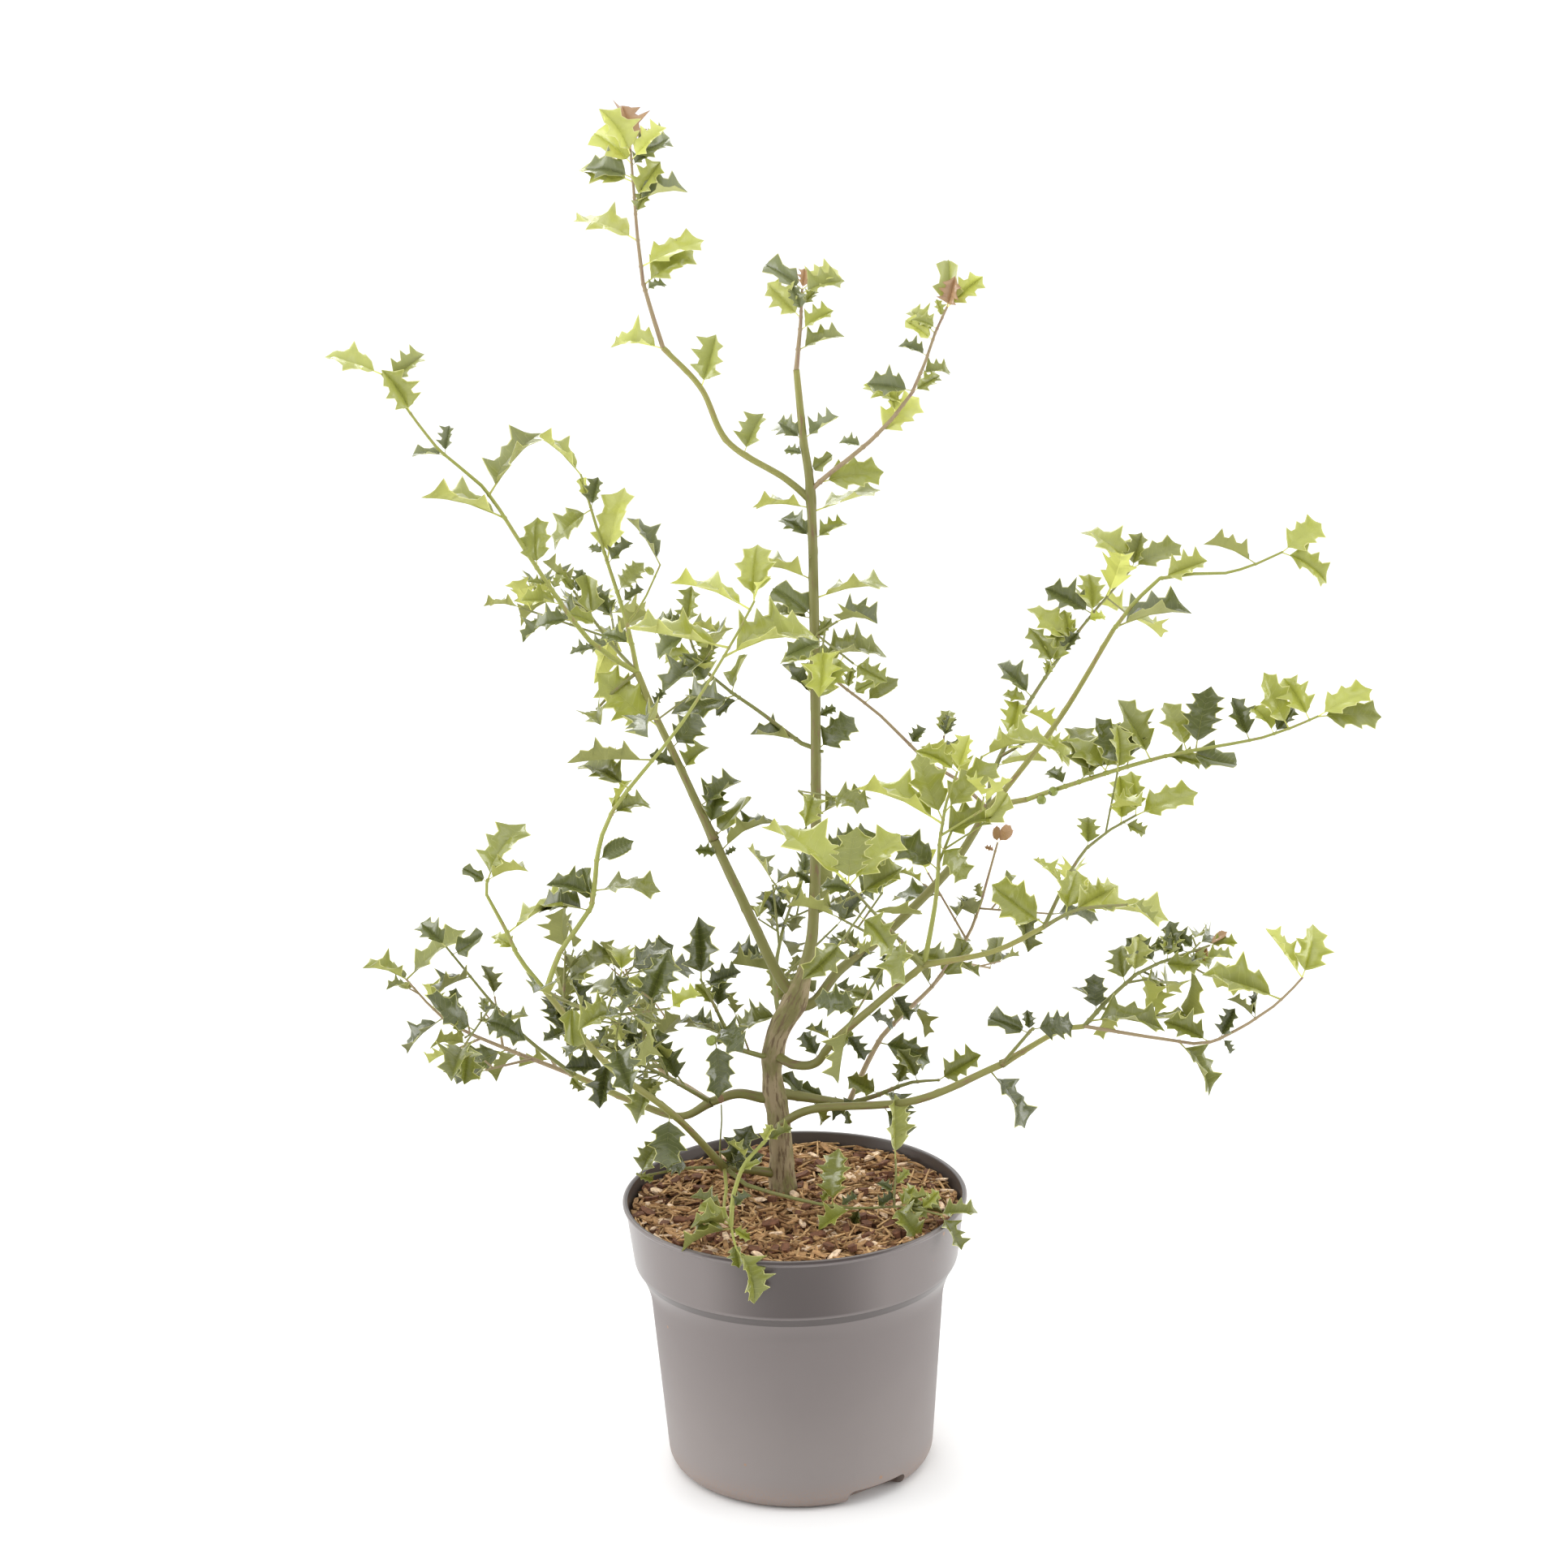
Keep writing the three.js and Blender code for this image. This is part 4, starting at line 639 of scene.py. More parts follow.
# Each row is one leaf: share along its limb (height in mm on the trunk), heading in degrees clockwise from
# straight up as seen from the front, and length. Then come its tint, if it isn't mature, its lean towards the
# front and its roll, if they aren't 0, and its form, if it has one.
placedLeaves = {
    "crown_top": [
        (1, -2, 38, "bronze", -20), (0.97, -20, 36, "pale", 20), (0.93, -40, 37, "young", -10),
        (0.95, 60, 38), (0.95, 48, 34, "pale"), (0.86, -65, 40), (0.84, -62, 46, "young"), (0.92, 50, 19),
        (0.76, 40, 33, "young"), (0.74, 65, 40), (0.68, 25, 22, "mid"), (0.55, -56, 55, "pale"),
        (0.42, 62, 50, "young"), (0.33, 52, 48, "young"), (0.3, 60, 16), (0, -70, 42, "young"),
    ],
    "top_left": [(0.75, 20, 40, "mid"), (0.38, 22, 34, "mid")],
    "leader_tip": [
        (1, -48, 36), (1, 52, 34, "pale"), (0.95, 65, 32, "mid"), (0.65, -45, 36, "pale"),
        (0.72, -12, 20, "mature", 30), (0.8, 45, 18, "mid"), (0.5, 60, 28, "young"), (0.25, 65, 36, "mid"),
        (1, 10, 16, "bronze"),
    ],
    "trunk": [
        (840, -50, 27), (841, 58, 29), (828, -68, 15), (815, 62, 20, "mid"), (786, -76, 44, "mid", 0, 60),
        (762, -42, 30), (762, 63, 28, "mid"), (783, 70, 52, "mid", 0, 50), (729, -62, 51, "mid", 0, 55),
        (714, 70, 56, "mid", 0, 60), (700, -46, 36), (698, -76, 34, "mid"), (682, 42, 19, "mid"),
        (665, 72, 56, "mid", 0, 40), (628, 14, 46, "mid", 10, 0, "broad"), (636, -42, 34),
        (592, 50, 38, "mature", "broad"), (618, 60, 16), (538, 58, 44, "mid", 0, 30),
        (500, 62, 50, "mature", "broad"), (460, -52, 30, "mid", 0, 40), (368, -99, 46, "mid"),
        (480, -45, 16), (520, -60, 14),
    ],
    "top_right": [
        (0.06, 76, 48, "mid"), (0.3, -70, 18), (0.38, 50, 44, "pale"), (0.5, -10, 24, "pale"),
        (0.55, -55, 33, "young"), (0.62, -78, 34), (0.62, 60, 24, "mid"), (0.7, 75, 24, "mid"),
        (0.78, -60, 22), (0.85, -50, 24, "pale"), (0.9, -60, 20, "mid"), (0.95, -10, 14, "young"),
        (0.88, -42, 30, "young"), (1, 10, 34, "mid"), (1, 48, 34, "young"), (1, 20, 18, "bronze", 40),
    ],
    "top_left_shoot": [
        (1, -65, 45, "young", "broad"), (0.97, 48, 38, "mid"), (0.88, -20, 34, "young", 40),
        (0.75, -80, 26), (0.75, 12, 24), (0.53, -63, 65, "young", 0, 50, "narrow"),
        (0.6, 31, 66, "mid", 0, 60, "narrow"), (0.38, -5, 38, "mid", "broad"), (0.33, -75, 15, "mid"),
        (0.31, 25, 15, "mid"), (0.27, -78, 32, "young"), (0.22, -90, 32), (0.12, -95, 22),
    ],
    "tall_left_tip": [
        (1, -36, 50, "young", 0, 60, "narrow"), (0.82, -119, 45, "mid", "broad"), (0.88, -18, 18, "pale"),
        (0.83, 16, 25), (0.56, 8, 59, "pale", 0, 25), (0.6, -60, 14), (0.55, 47, 25),
        (0.4, 38, 30, "mid", "broad"), (0.35, 62, 20), (0.14, -60, 26),
    ],
    "tallSide": [(1, -24, 47, "mature", 0, 35), (0.8, -35, 12, "mid", "oval")],
    "left_back": [
        (0.72, 2, 32, "mid"), (0.98, -35, 22, "mid"), (0.95, 15, 22), (0.4, -88, 22),
        (0.62, -60, 24, "mid"),
    ],
    "left_inner": [
        (1, -88, 26), (1, -62, 26), (0.95, -112, 32), (1, 12, 30, "mid"), (1, 92, 31, "mid", 0, 45),
        (0.88, 62, 25, "mid"), (0.75, 10, 25, "mid", "broad"), (0.84, -94, 29, "young"), (0.53, -108, 49),
        (0.55, 15, 31, "mid", 0, 60), (0.12, -74, 36, "mature", 0, 50), (0.5, -122, 22),
    ],
    "tall_left_upper": [
        (0.68, -52, 64, "young", 10, 0, "broad"), (0.55, 42, 38, "mature", "broad"), (0.44, -62, 25),
        (0.42, 40, 28, "mid"), (0.2, 52, 39, "mature", 0, 30), (0.08, 17, 35), (0.8, 40, 16),
    ],
    "tall_left_lower": [(0.93, 43, 51, "mature", 0, 50), (0.92, -72, 18), (0.9, 62, 11)],
    "left_spur": [(0.05, 46, 42, "mid", 0, 30)],
    "left_arch": [
        (1, 0, 44, "young", 10, 0, "broad"), (0.98, -56, 60, "young", 0, 30), (1, 14, 22, "pale", 20, 70),
        (0.87, 63, 74, "young", 0, 30), (0.89, -74, 74, "young", 0, 38, "narrow"),
        (0.6, -84, 60, "mature", 0, 60, "narrow"), (0.52, -52, 47, "mid"), (0.45, 58, 31, "mid"),
        (0.45, 22, 30, "young", 0, 60, "narrow"), (0.34, 57, 30, "mature", 20, 0, "oval"),
        (0.27, 82, 48, "mid", 0, 45), (0.26, -62, 34), (0.22, -75, 40), (0.24, -14, 28),
    ],
    "thin_back": [
        (0.77, -80, 27, "mid"), (0.62, 10, 18, "mid"), (0.6, 62, 20, "mid"), (0.55, 50, 32, "mid", "oval"),
        (0.35, 40, 18),
    ],
    "backUpright": [(1, 6, 24, "mid", "broad"), (0.95, 25, 20), (0.5, 60, 20)],
    "rosette": [
        (1, -42, 78, "young", 0, 40), (1, 3, 40, "mid", 30, 0, "broad"), (0.98, 42, 55, "young", 0, 35),
        (0.86, 60, 38, "mid"), (0.9, -70, 26),
    ],
    "right_inner_shoot": [
        (0.73, -54, 72, "young", 0, 30), (0.75, -22, 54, "young"), (0.79, 43, 52, "young", 0, 30),
        (0.68, 67, 42, "young"), (0.62, 140, 34, "mid", 10, 0, "broad"), (0.5, -48, 47, "mature", "broad"),
        (1, 20, 30, "pale"), (1, -50, 34, "young"),
    ],
    "right_middle_tip": [
        (1, 53, 39, "young", "broad"), (1, 112, 44, "young"), (0.85, -51, 42, "mature", 0, 60, "narrow"),
        (0.37, 70, 38, "pale"), (0.02, 67, 63, "mature", 0, 40, "narrow"),
    ],
    "right_upper": [
        (1, -36, 53, "young", "broad"), (1, 18, 30, "mid"), (1, 60, 45, "mid"), (0.78, 5, 36, "young"),
        (0.78, -58, 43), (0.75, 70, 16, "young"), (0.7, -55, 20, "mid"), (0.65, -40, 44, "young"),
        (0.65, -5, 28, "young"), (0.55, -22, 35, "mid"), (0.55, 15, 36, "mid", "broad"), (0.6, 35, 22),
        (0.5, 25, 18, "young"), (0.42, -41, 43), (0.4, -65, 22, "mid"), (0.25, 20, 36, "young"),
    ],
    "right_outer_tip": [
        (1, 86, 48, "mid"), (1, 59, 44, "young"), (0.97, -23, 39, "young"), (0.9, -28, 45, "young"),
        (0.85, -27, 28, "young"), (0.85, 42, 26), (0.77, -20, 35), (0.6, 9, 48, "mature", "broad"),
        (0.57, -15, 43, "young"), (0.45, -25, 55, "mid"), (0.37, 12, 45), (0.3, -38, 42, "mid", "broad"),
        (0.15, -40, 20), (0.5, 97, 30, "mid"), (0.58, 112, 38), (0.24, -8, 50, "mid", "broad"),
        (0.29, 24, 44, "young"), (0.34, -16, 42, "mature", 10), (0.2, 44, 36, "mid", 0, 30),
    ],
    "right_front_tip": [
        (0.5, 88, 64, "pale", 0, 60), (0.3, 14, 37, "young", "broad"), (0.36, 62, 44, "pale"),
    ],
    "right_front_upper": [
        (1, 65, 48, "young"), (1, 0, 35, "young"), (0.9, 120, 20, "mid"), (0.6, 5, 25, "mid"),
        (0.02, -55, 50, "young", "broad"),
    ],
    "brown_shoot": [
        (1, 42, 20, "bronze", "oval"), (1, -6, 14, "bronze", "oval"), (0.97, -62, 9, "bronze"),
        (0.22, 104, 46),
    ],
    "right_low_upper": [
        (0.38, -12, 32, "mid"), (0.46, 8, 33, "pale", 10, 0, "broad"), (0.12, 0, 29, "mature", "broad"),
        (0.05, 82, 57, "mid", 0, 40), (1, 45, 17, "bronze", 0, 40, "oval"), (1, -136, 17, "bronze"),
        (0.85, -70, 30), (0.9, -48, 28), (1, 80, 21, "young"), (0.62, -40, 30), (0.7, 12, 26, "mid"),
        (0.78, -20, 28), (0.66, 100, 30, "mid"), (0.85, 118, 24, "mid"),
    ],
    "right_low_tip": [
        (1, 22, 42, "young", "broad"), (1, -33, 44, "pale", 0, 55, "narrow"),
        (0.86, -66, 62, "young", 0, 25), (0.72, -38, 25, "mature", 0, 75, "narrow"),
        (0.72, 2, 23, "mature", 0, 75, "narrow"), (0.38, 136, 47, "mid", 0, 45), (0.55, 30, 24),
        (0.56, 150, 15), (0.5, -58, 36, "mid"),
    ],
    "right_low_middle": [(0.4, -64, 33), (0.46, 84, 34), (0.42, -5, 16)],
    "right_front": [
        (0.24, -30, 24), (0.32, 64, 24, "mid"), (0.4, -58, 23, "mature", 0, 30), (0.48, 150, 25),
        (0.55, -14, 26, "mid"), (0.62, 108, 24, "mature", 0, 30), (0.7, -64, 22, "mid"), (0.78, 142, 24),
        (0.86, -28, 24),
    ],
    "right_main": [
        (0.1, -38, 24, "mid"), (0.17, 122, 24, "mature", 0, 30), (0.25, 60, 22), (0.33, -50, 24, "mid"),
    ],
    "right_low_back": [(0.35, -34, 22), (0.5, 150, 24, "mid", 0, 30), (0.66, -56, 22)],
    "right_low": [(0.95, 141, 52, "mature", 0, 35, "large"), (0.52, 146, 35), (0.38, 174, 13)],
    "left_front_tip": [
        (0.77, 20, 52, "mid", 0, 30, "broad"), (0.77, -56, 20), (0.32, -46, 23, "young", "broad"),
        (0.43, 52, 56, "young", 0, 40), (0.78, 58, 32, "mid", 0, 60),
    ],
    "left_low_tip": [
        (1, 47, 60, "young", 0, 40), (1, -32, 12, "mid", "oval"), (0.94, -68, 14, "mid", "oval"),
        (0.37, -111, 54, "mature", 10, 0, "broad"), (0.73, -122, 46, "mature", 0, 45), (0.62, 4, 15, "old"),
        (0.02, 150, 18, "mid"),
    ],
    "right_low_back_tip": [
        (0.3, -60, 28, "mid"), (0.5, 20, 26, "mid"), (0.9, 60, 38, "young"), (0.1, -110, 26),
        (0.7, -20, 30, "mid"),
    ],
    "left_low_upper": [(1, -46, 30), (0.95, 63, 28)],
    "left_low_back": [(0.98, 62, 44, "mature", "broad"), (0.96, 80, 57, "mature", 0, 40)],
    "left_front": [(0.36, -173, 42, "mature", 10, 0, "broad")],
    "left_front_inner": [(0.98, 60, 26, "young"), (0.7, -20, 30)],
    "centre_left": [(0.95, 2, 46, "mature", 20, 0, "narrow"), (0.72, -34, 22, "young"), (0.9, 70, 30)],
    "pot_left": [
        (0.87, 24, 31, "mid", "broad"), (0.36, -72, 27, "mature", 30, 0, "broad"), (0.9, 118, 14, "mid"),
        (0.02, 64, 26),
    ],
    "budTwig": [(1, 0, 9, "bronze", "oval")],
    "potRiser": [
        (1, 68, 22, "mid"), (0.95, 30, 16, "pale"), (0.72, -38, 20, "young", 0, 60), (0.6, 62, 15, "young"),
        (0.2, 48, 18),
    ],
    "pot_front": [
        (0.62, -54, 28, "mid", 0, 40), (0.86, -52, 24, "young", 0, 30), (0.82, -104, 22, "mid", 0, 20),
        (1, -97, 42, "mid", 10, 50, "narrow"), (0.92, -72, 30, "mid", 0, 45), (1, 118, 16, "young"),
    ],
    "potOver": [(1, 150, 46, "young", 15, 20, "large"), (0.7, 170, 18, "mid", 10)],
    "rimOver": [(1, 150, 27, "mid", 30, 20), (0.9, 80, 30, "mid", 10, 30), (0.5, 50, 20, "young")],
    "potUpright": [(1, 0, 50, "pale", 0, 35, "narrow"), (0.45, 46, 16, "young"), (0.3, -50, 15)],
    "pot_right": [
        (0.66, 2, 44, "mid", 0, 15, "broad"), (0.7, 62, 16), (0.6, 30, 14, "young"),
        (0.76, -112, 30, "young", 10, 30), (1, 96, 34, "mid", 10, 45), (1, 62, 24, "young", 0, 30),
        (0.97, 132, 26, "mid", 30, 20), (1, 104, 22, "young", 30, 30), (1, 42, 20, "young", -20),
        (0.02, 24, 38), (0.06, 48, 28), (0.88, 60, 18), (0.8, -150, 16),
    ],
}


def heading(degrees, lean):
    s = leafView
    turn, tipped = math.radians(degrees), math.radians(lean)
    flat = np.array(s["right"]) * math.sin(turn) + np.array(s["up"]) * math.cos(turn)
    return flat * math.cos(tipped) + np.array(s["near"]) * math.sin(tipped)


# The line that a leaf or shoot grows from, and the mass whose pieces it goes with.
def limbNamed(name, extras):
    if name in extras:
        return extras[name]
    if name in grown:
        return grown[name]["shoots"][0], name
    if name == "trunk":
        trunk = Shoot(smoothPath(trunkKnots, limbSpacing), trunkRadii[0][1], trunkRadii[-1][1])
        return trunk, "leader_high"
    bough = boughs[name]
    return Shoot(smoothPath(bough["knots"], limbSpacing), bough["foot"], bough["end"]), "left_low_upper"


def heightShare(limb, height):
    heights = [p[2] for p in limb.points]
    return float(np.interp(height, heights, limb.reached)) / limb.length


def placeLeaf(limb, radius, share, degrees, length, tint, lean, roll, form):
    s = leafView
    direction = heading(degrees, lean)
    face = np.array(s["near"]) * s["faceNear"] + up * s["faceUp"]
    face = unit(face - direction * (face @ direction))
    turn = math.radians(roll) * (-1 if 0 < degrees < 180 else 1)
    face = face * math.cos(turn) + np.cross(direction, face) * math.sin(turn)
    root, along = limb.at(min(max(share * limb.length, s["footGap"]), limb.length - s["tipGap"]))
    root = root + (direction - along * (direction @ along)) * radius * s["outwards"]
    length = length / max(s["leastCosine"], math.cos(math.radians(lean)))
    return dict(
        root=root, direction=direction, across=np.cross(direction, face), face=face, tint=tint, form=form,
        length=length, share=share, shoot=limb,
    )


def addExtraShoots():
    extras = {}
    for name, spec in extraShoots.items():
        limb, mass = limbNamed(spec["limb"], extras)
        knots = [limb.at(spec["share"] * limb.length)[0]]
        for degrees in spec["headings"]:
            knots.append(knots[-1] + heading(degrees, spec["lean"]) * spec["length"] / len(spec["headings"]))
        shoot = Shoot(smoothPath(knots, limbSpacing), spec["foot"], spec["foot"] * shootTaper)
        grown[mass]["shoots"].append(shoot)
        extras[name] = (shoot, mass)
    return extras


def leafMiddle(leaf):
    return leaf["root"] + leaf["direction"] * leaf["length"] * leafView["middle"]


# Takes out the rule's leaf that is nearest to a placed one, so that the crown's outline stays open.
def makeRoom(placed):
    near, middle = [], leafMiddle(placed)
    for name, g in grown.items():
        for kind in ("leaves", "fineLeaves"):
            for leaf in g[kind]:
                gap = math.dist(middle, leafMiddle(leaf))
                if "tint" not in leaf and gap < leafView["swap"]:
                    near.append((gap, name, kind, leaf))
    if near:
        gap, name, kind, nearestLeaf = min(near, key=lambda row: row[0])
        grown[name][kind] = [leaf for leaf in grown[name][kind] if leaf is not nearestLeaf]


def placeLeaves():
    s = leafView
    extras = addExtraShoots()
    draw = seeded(s["seed"])
    for name, share in keptShare.items():
        g = grown[name]
        for kind in ("leaves", "fineLeaves"):
            g[kind] = [leaf for leaf in g[kind] if draw() < share]
    for name, rows in placedLeaves.items():
        limb, mass = limbNamed(name, extras)
        for share, degrees, length, *rest in rows:
            words, angles = ([v for v in rest if isinstance(v, kind)] for kind in (str, (int, float)))
            tint, form = words + ["mature", None][len(words):]
            lean, roll = angles + [0, 0][len(angles):]
            radius = trunkRadius(share) if name == "trunk" else limb.radius(share * limb.length)
            share = heightShare(limb, share) if name == "trunk" else share
            lean += around(0, s["leanVaries"], draw)
            roll += around(0, s["rollVaries"], draw)
            leaf = placeLeaf(limb, radius, share, degrees, length, tint, lean, roll, form)
            makeRoom(leaf)
            grown[mass]["leaves"].append(leaf)


trimming = dict(spacing=2, touching=1.5, stemShare=0.08, thinnedBelow=0.7)


# The share along a shoot at which another starts on it, or None.
def startsAt(shoot, other):
    spots = shoot.samples(trimming["spacing"])
    gaps = np.sqrt(((spots - other.points[0]) ** 2).sum(1))
    return gaps.argmin() / (len(spots) - 1) if gaps.min() < trimming["touching"] else None


# Twigs end at their last leaf. A twig that carries nothing, or one leaf of the rule's own, is left out.
def trimTwigs():
    for name, g in grown.items():
        everyLeaf = g["leaves"] + g["fineLeaves"]
        stem, carrying = g["shoots"][0], []
        thinned = keptShare.get(name, 1.0) < trimming["thinnedBelow"]
        groups = (("fineTwigs", g["fineTwigs"]), ("shoots", g["shoots"][:0:-1]), ("shoots", [stem]))
        for kind, shoots in groups:
            kept = []
            for shoot in shoots:
                own = [leaf for leaf in everyLeaf if leaf["shoot"] is shoot]
                starts = [startsAt(shoot, other) for other in carrying]
                shares = [leaf["share"] for leaf in own] + [share for share in starts if share is not None]
                if shoot is stem:
                    shares += [*masses[name].get("fruit", ()), trimming["stemShare"]]
                if thinned and len(shares) == 1 and own and "tint" not in own[0]:
                    for leaves in (g["leaves"], g["fineLeaves"]):
                        leaves[:] = [leaf for leaf in leaves if leaf is not own[0]]
                elif shares:
                    shoot.end = max(shares)
                    kept.append(shoot)
            carrying = carrying + kept
            if kind == "fineTwigs":
                g[kind] = kept
        g["shoots"] = [shoot for shoot in carrying if shoot not in g["fineTwigs"]]


placeLeaves()
trimTwigs()
print("placed:", sum(len(rows) for rows in placedLeaves.values()), "leaves in", len(placedLeaves), "groups")


# A colour given as 0 to 255 on the screen, as the shaders take it.
def linear(red, green, blue):
    def one(v):
        v = v / 255
        return v / 12.92 if v <= 0.04045 else ((v + 0.055) / 1.055) ** 2.4

    return one(red), one(green), one(blue), 1.0


def newGroup(name, inputs, outputs):
    group = bpy.data.node_groups.new(name, "ShaderNodeTree")
    for label, kind, value in inputs:
        socket = group.interface.new_socket(label, in_out="INPUT", socket_type="NodeSocket" + kind)
        if value is not None:
            socket.default_value = value
    for label, kind in outputs:
        group.interface.new_socket(label, in_out="OUTPUT", socket_type="NodeSocket" + kind)
    return group, group.nodes.new("NodeGroupInput"), group.nodes.new("NodeGroupOutput")


def addNode(tree, kind, values=None, **settings):
    node = tree.nodes.new("ShaderNode" + kind)
    for key, value in settings.items():
        setattr(node, key, value)
    for key, value in (values or {}).items():
        node.inputs[key].default_value = value
    return node


def join(tree, *pairs):
    for source, target in pairs:
        tree.links.new(source, target)


def mixColours(tree, share, first, second):
    node = addNode(tree, "Mix", data_type="RGBA")
    for source, target in ((share, node.inputs[0]), (first, node.inputs[6]), (second, node.inputs[7])):
        if hasattr(source, "is_linked"):
            tree.links.new(source, target)
        else:
            target.default_value = source
    return node.outputs[2]


def maths(tree, operation, first, second=None):
    node = addNode(tree, "Math", operation=operation)
    for source, target in zip((first, second), node.inputs):
        if hasattr(source, "is_linked"):
            tree.links.new(source, target)
        elif source is not None:
            target.default_value = source
    return node.outputs[0]


def plus(tree, first, second):
    return maths(tree, "ADD", first, second)


def minus(tree, first, second):
    return maths(tree, "SUBTRACT", first, second)


def times(tree, first, second):
    return maths(tree, "MULTIPLY", first, second)


# How far a value is from another, either way.
def apart(tree, first, second):
    return maths(tree, "ABSOLUTE", minus(tree, first, second))


# The x, y and z of a place.
def split(tree, place):
    parts = addNode(tree, "SeparateXYZ")
    join(tree, (place, parts.inputs[0]))
    return parts.outputs[0], parts.outputs[1], parts.outputs[2]


# A colour made lighter or darker by a factor.
def scaled(tree, colour, factor):
    node = addNode(tree, "VectorMath", operation="SCALE")
    join(tree, (colour, node.inputs[0]), (factor, node.inputs["Scale"]))
    return node.outputs[0]


def onPiece(tree):
    return addNode(tree, "TexCoord").outputs["Object"]


def attribute(tree, name, output="Fac"):
    return addNode(tree, "Attribute", attribute_name=name).outputs[output]


# Goes softly from 0 to 1 as a value goes from low to high.
def fade(tree, value, low, high):
    node = addNode(tree, "MapRange", {"From Min": low, "From Max": high}, interpolation_type="SMOOTHSTEP")
    tree.links.new(value, node.inputs["Value"])
    return node.outputs["Result"]


def noiseAt(tree, place, scale, detail=2.0, roughness=0.55, stretch=None):
    if stretch:
        mapping = addNode(tree, "Mapping", {"Scale": stretch})
        tree.links.new(place, mapping.inputs["Vector"])
        place = mapping.outputs[0]
    node = addNode(tree, "TexNoise", {"Scale": scale, "Detail": detail, "Roughness": roughness})
    tree.links.new(place, node.inputs["Vector"])
    return node.outputs["Fac"]


def newMaterial(name, roughness, values=None):
    material = bpy.data.materials.new(name)
    material.use_nodes = True
    shader = material.node_tree.nodes["Principled BSDF"]
    shader.inputs["Roughness"].default_value = roughness
    for key, value in (values or {}).items():
        shader.inputs[key].default_value = value
    return material, material.node_tree, shader


def placeGroup(tree, group, values):
    node = tree.nodes.new("ShaderNodeGroup")
    node.node_tree = group
    for key, value in values.items():
        node.inputs[key].default_value = value
    return node


def addBump(tree, shader, height, strength, distance):
    bump = addNode(tree, "Bump", {"Strength": strength, "Distance": distance})
    join(tree, (height, bump.inputs["Height"]), (bump.outputs["Normal"], shader.inputs["Normal"]))


# The face of a leaf: mottled, a little darker or lighter from leaf to leaf, side veins, a pale edge. The
# brightness is least and a share each of shade and mottle.
bladeLook = dict(
    veins=9.0, veinSlope=0.16, veinFrom=0.44, mottling=dict(scale=90.0, detail=3.0), least=0.6, shade=0.5,
    mottle=0.3, relief=0.6,
)


def makeBladeGroup():
    s = bladeLook
    group, given, out = newGroup("blade", [
        ("Colour", "Color", None), ("Edge", "Color", None), ("Vein", "Color", None),
        ("Edge width", "Float", 0.1), ("Vein strength", "Float", 0.4),
    ], [("Colour", "Color"), ("Height", "Float")])
    across, along = split(group, addNode(group, "UVMap", uv_map="leaf").outputs[0])[:2]
    aside = times(group, apart(group, across, 0.5), 2.0)
    lines = times(group, minus(group, along, times(group, aside, s["veinSlope"])), s["veins"])
    veins = fade(group, apart(group, maths(group, "FRACT", lines), 0.5), s["veinFrom"], 0.5)
    mottle = noiseAt(group, onPiece(group), **s["mottling"])
    shade = times(group, attribute(group, "shade"), s["shade"])
    level = plus(group, plus(group, shade, times(group, mottle, s["mottle"])), s["least"])
    tone = scaled(group, given.outputs["Colour"], level)
    share = times(group, veins, given.outputs["Vein strength"])
    colour = mixColours(group, share, tone, given.outputs["Vein"])
    edge = maths(group, "GREATER_THAN", aside, minus(group, 1.0, given.outputs["Edge width"]))
    colour = mixColours(group, edge, colour, given.outputs["Edge"])
    height = minus(group, times(group, mottle, s["relief"]), veins)
    join(group, (colour, out.inputs["Colour"]), (height, out.inputs["Height"]))
    return group


bladeGroup = makeBladeGroup()

# Upper face, under face, rib and edge of each tint, and the roughness of its upper face.
leafTints = {
    "mature": dict(
        upper=(84, 91, 38), under=(138, 140, 76), rib=(158, 158, 86), edge=(174, 174, 104), gloss=0.26,
    ),
    "mid": dict(
        upper=(120, 125, 46), under=(156, 158, 80), rib=(174, 174, 92), edge=(188, 188, 112), gloss=0.28,
    ),
    "young": dict(
        upper=(146, 151, 54), under=(168, 171, 82), rib=(186, 188, 100), edge=(200, 200, 118), gloss=0.32,
    ),
    "pale": dict(
        upper=(168, 172, 78), under=(184, 187, 100), rib=(198, 199, 120), edge=(210, 210, 136), gloss=0.38,
    ),
    "bronze": dict(
        upper=(144, 110, 70), under=(158, 124, 90), rib=(170, 140, 90), edge=(150, 108, 78), gloss=0.42,
    ),
    "old": dict(
        upper=(156, 142, 40), under=(174, 160, 66), rib=(180, 168, 80), edge=(160, 146, 70), gloss=0.42,
    ),
}

# Leaves are paler the higher they stand, as painted light: lit copies of their tint high up and shaded copies
# low down, with painted glare added at the top. Up to a height in mm, the share of their tint and the painted
# glare added.
paintedSunLevels = dict(
    low=(430, 0.77, 0.0), middle=(620, 1.05, 0.0), upper=(820, 1.22, 0.012), top=(2000, 1.4, 0.045),
)

leafSkin = dict(
    dullRoughness=0.62, specular=0.5, dullSpecular=0.35, coat=0.5, coatRoughness=0.16, edgeWidth=0.08,
    veinStrength=0.3, bump=0.25, bumpDepth=0.0006,
)


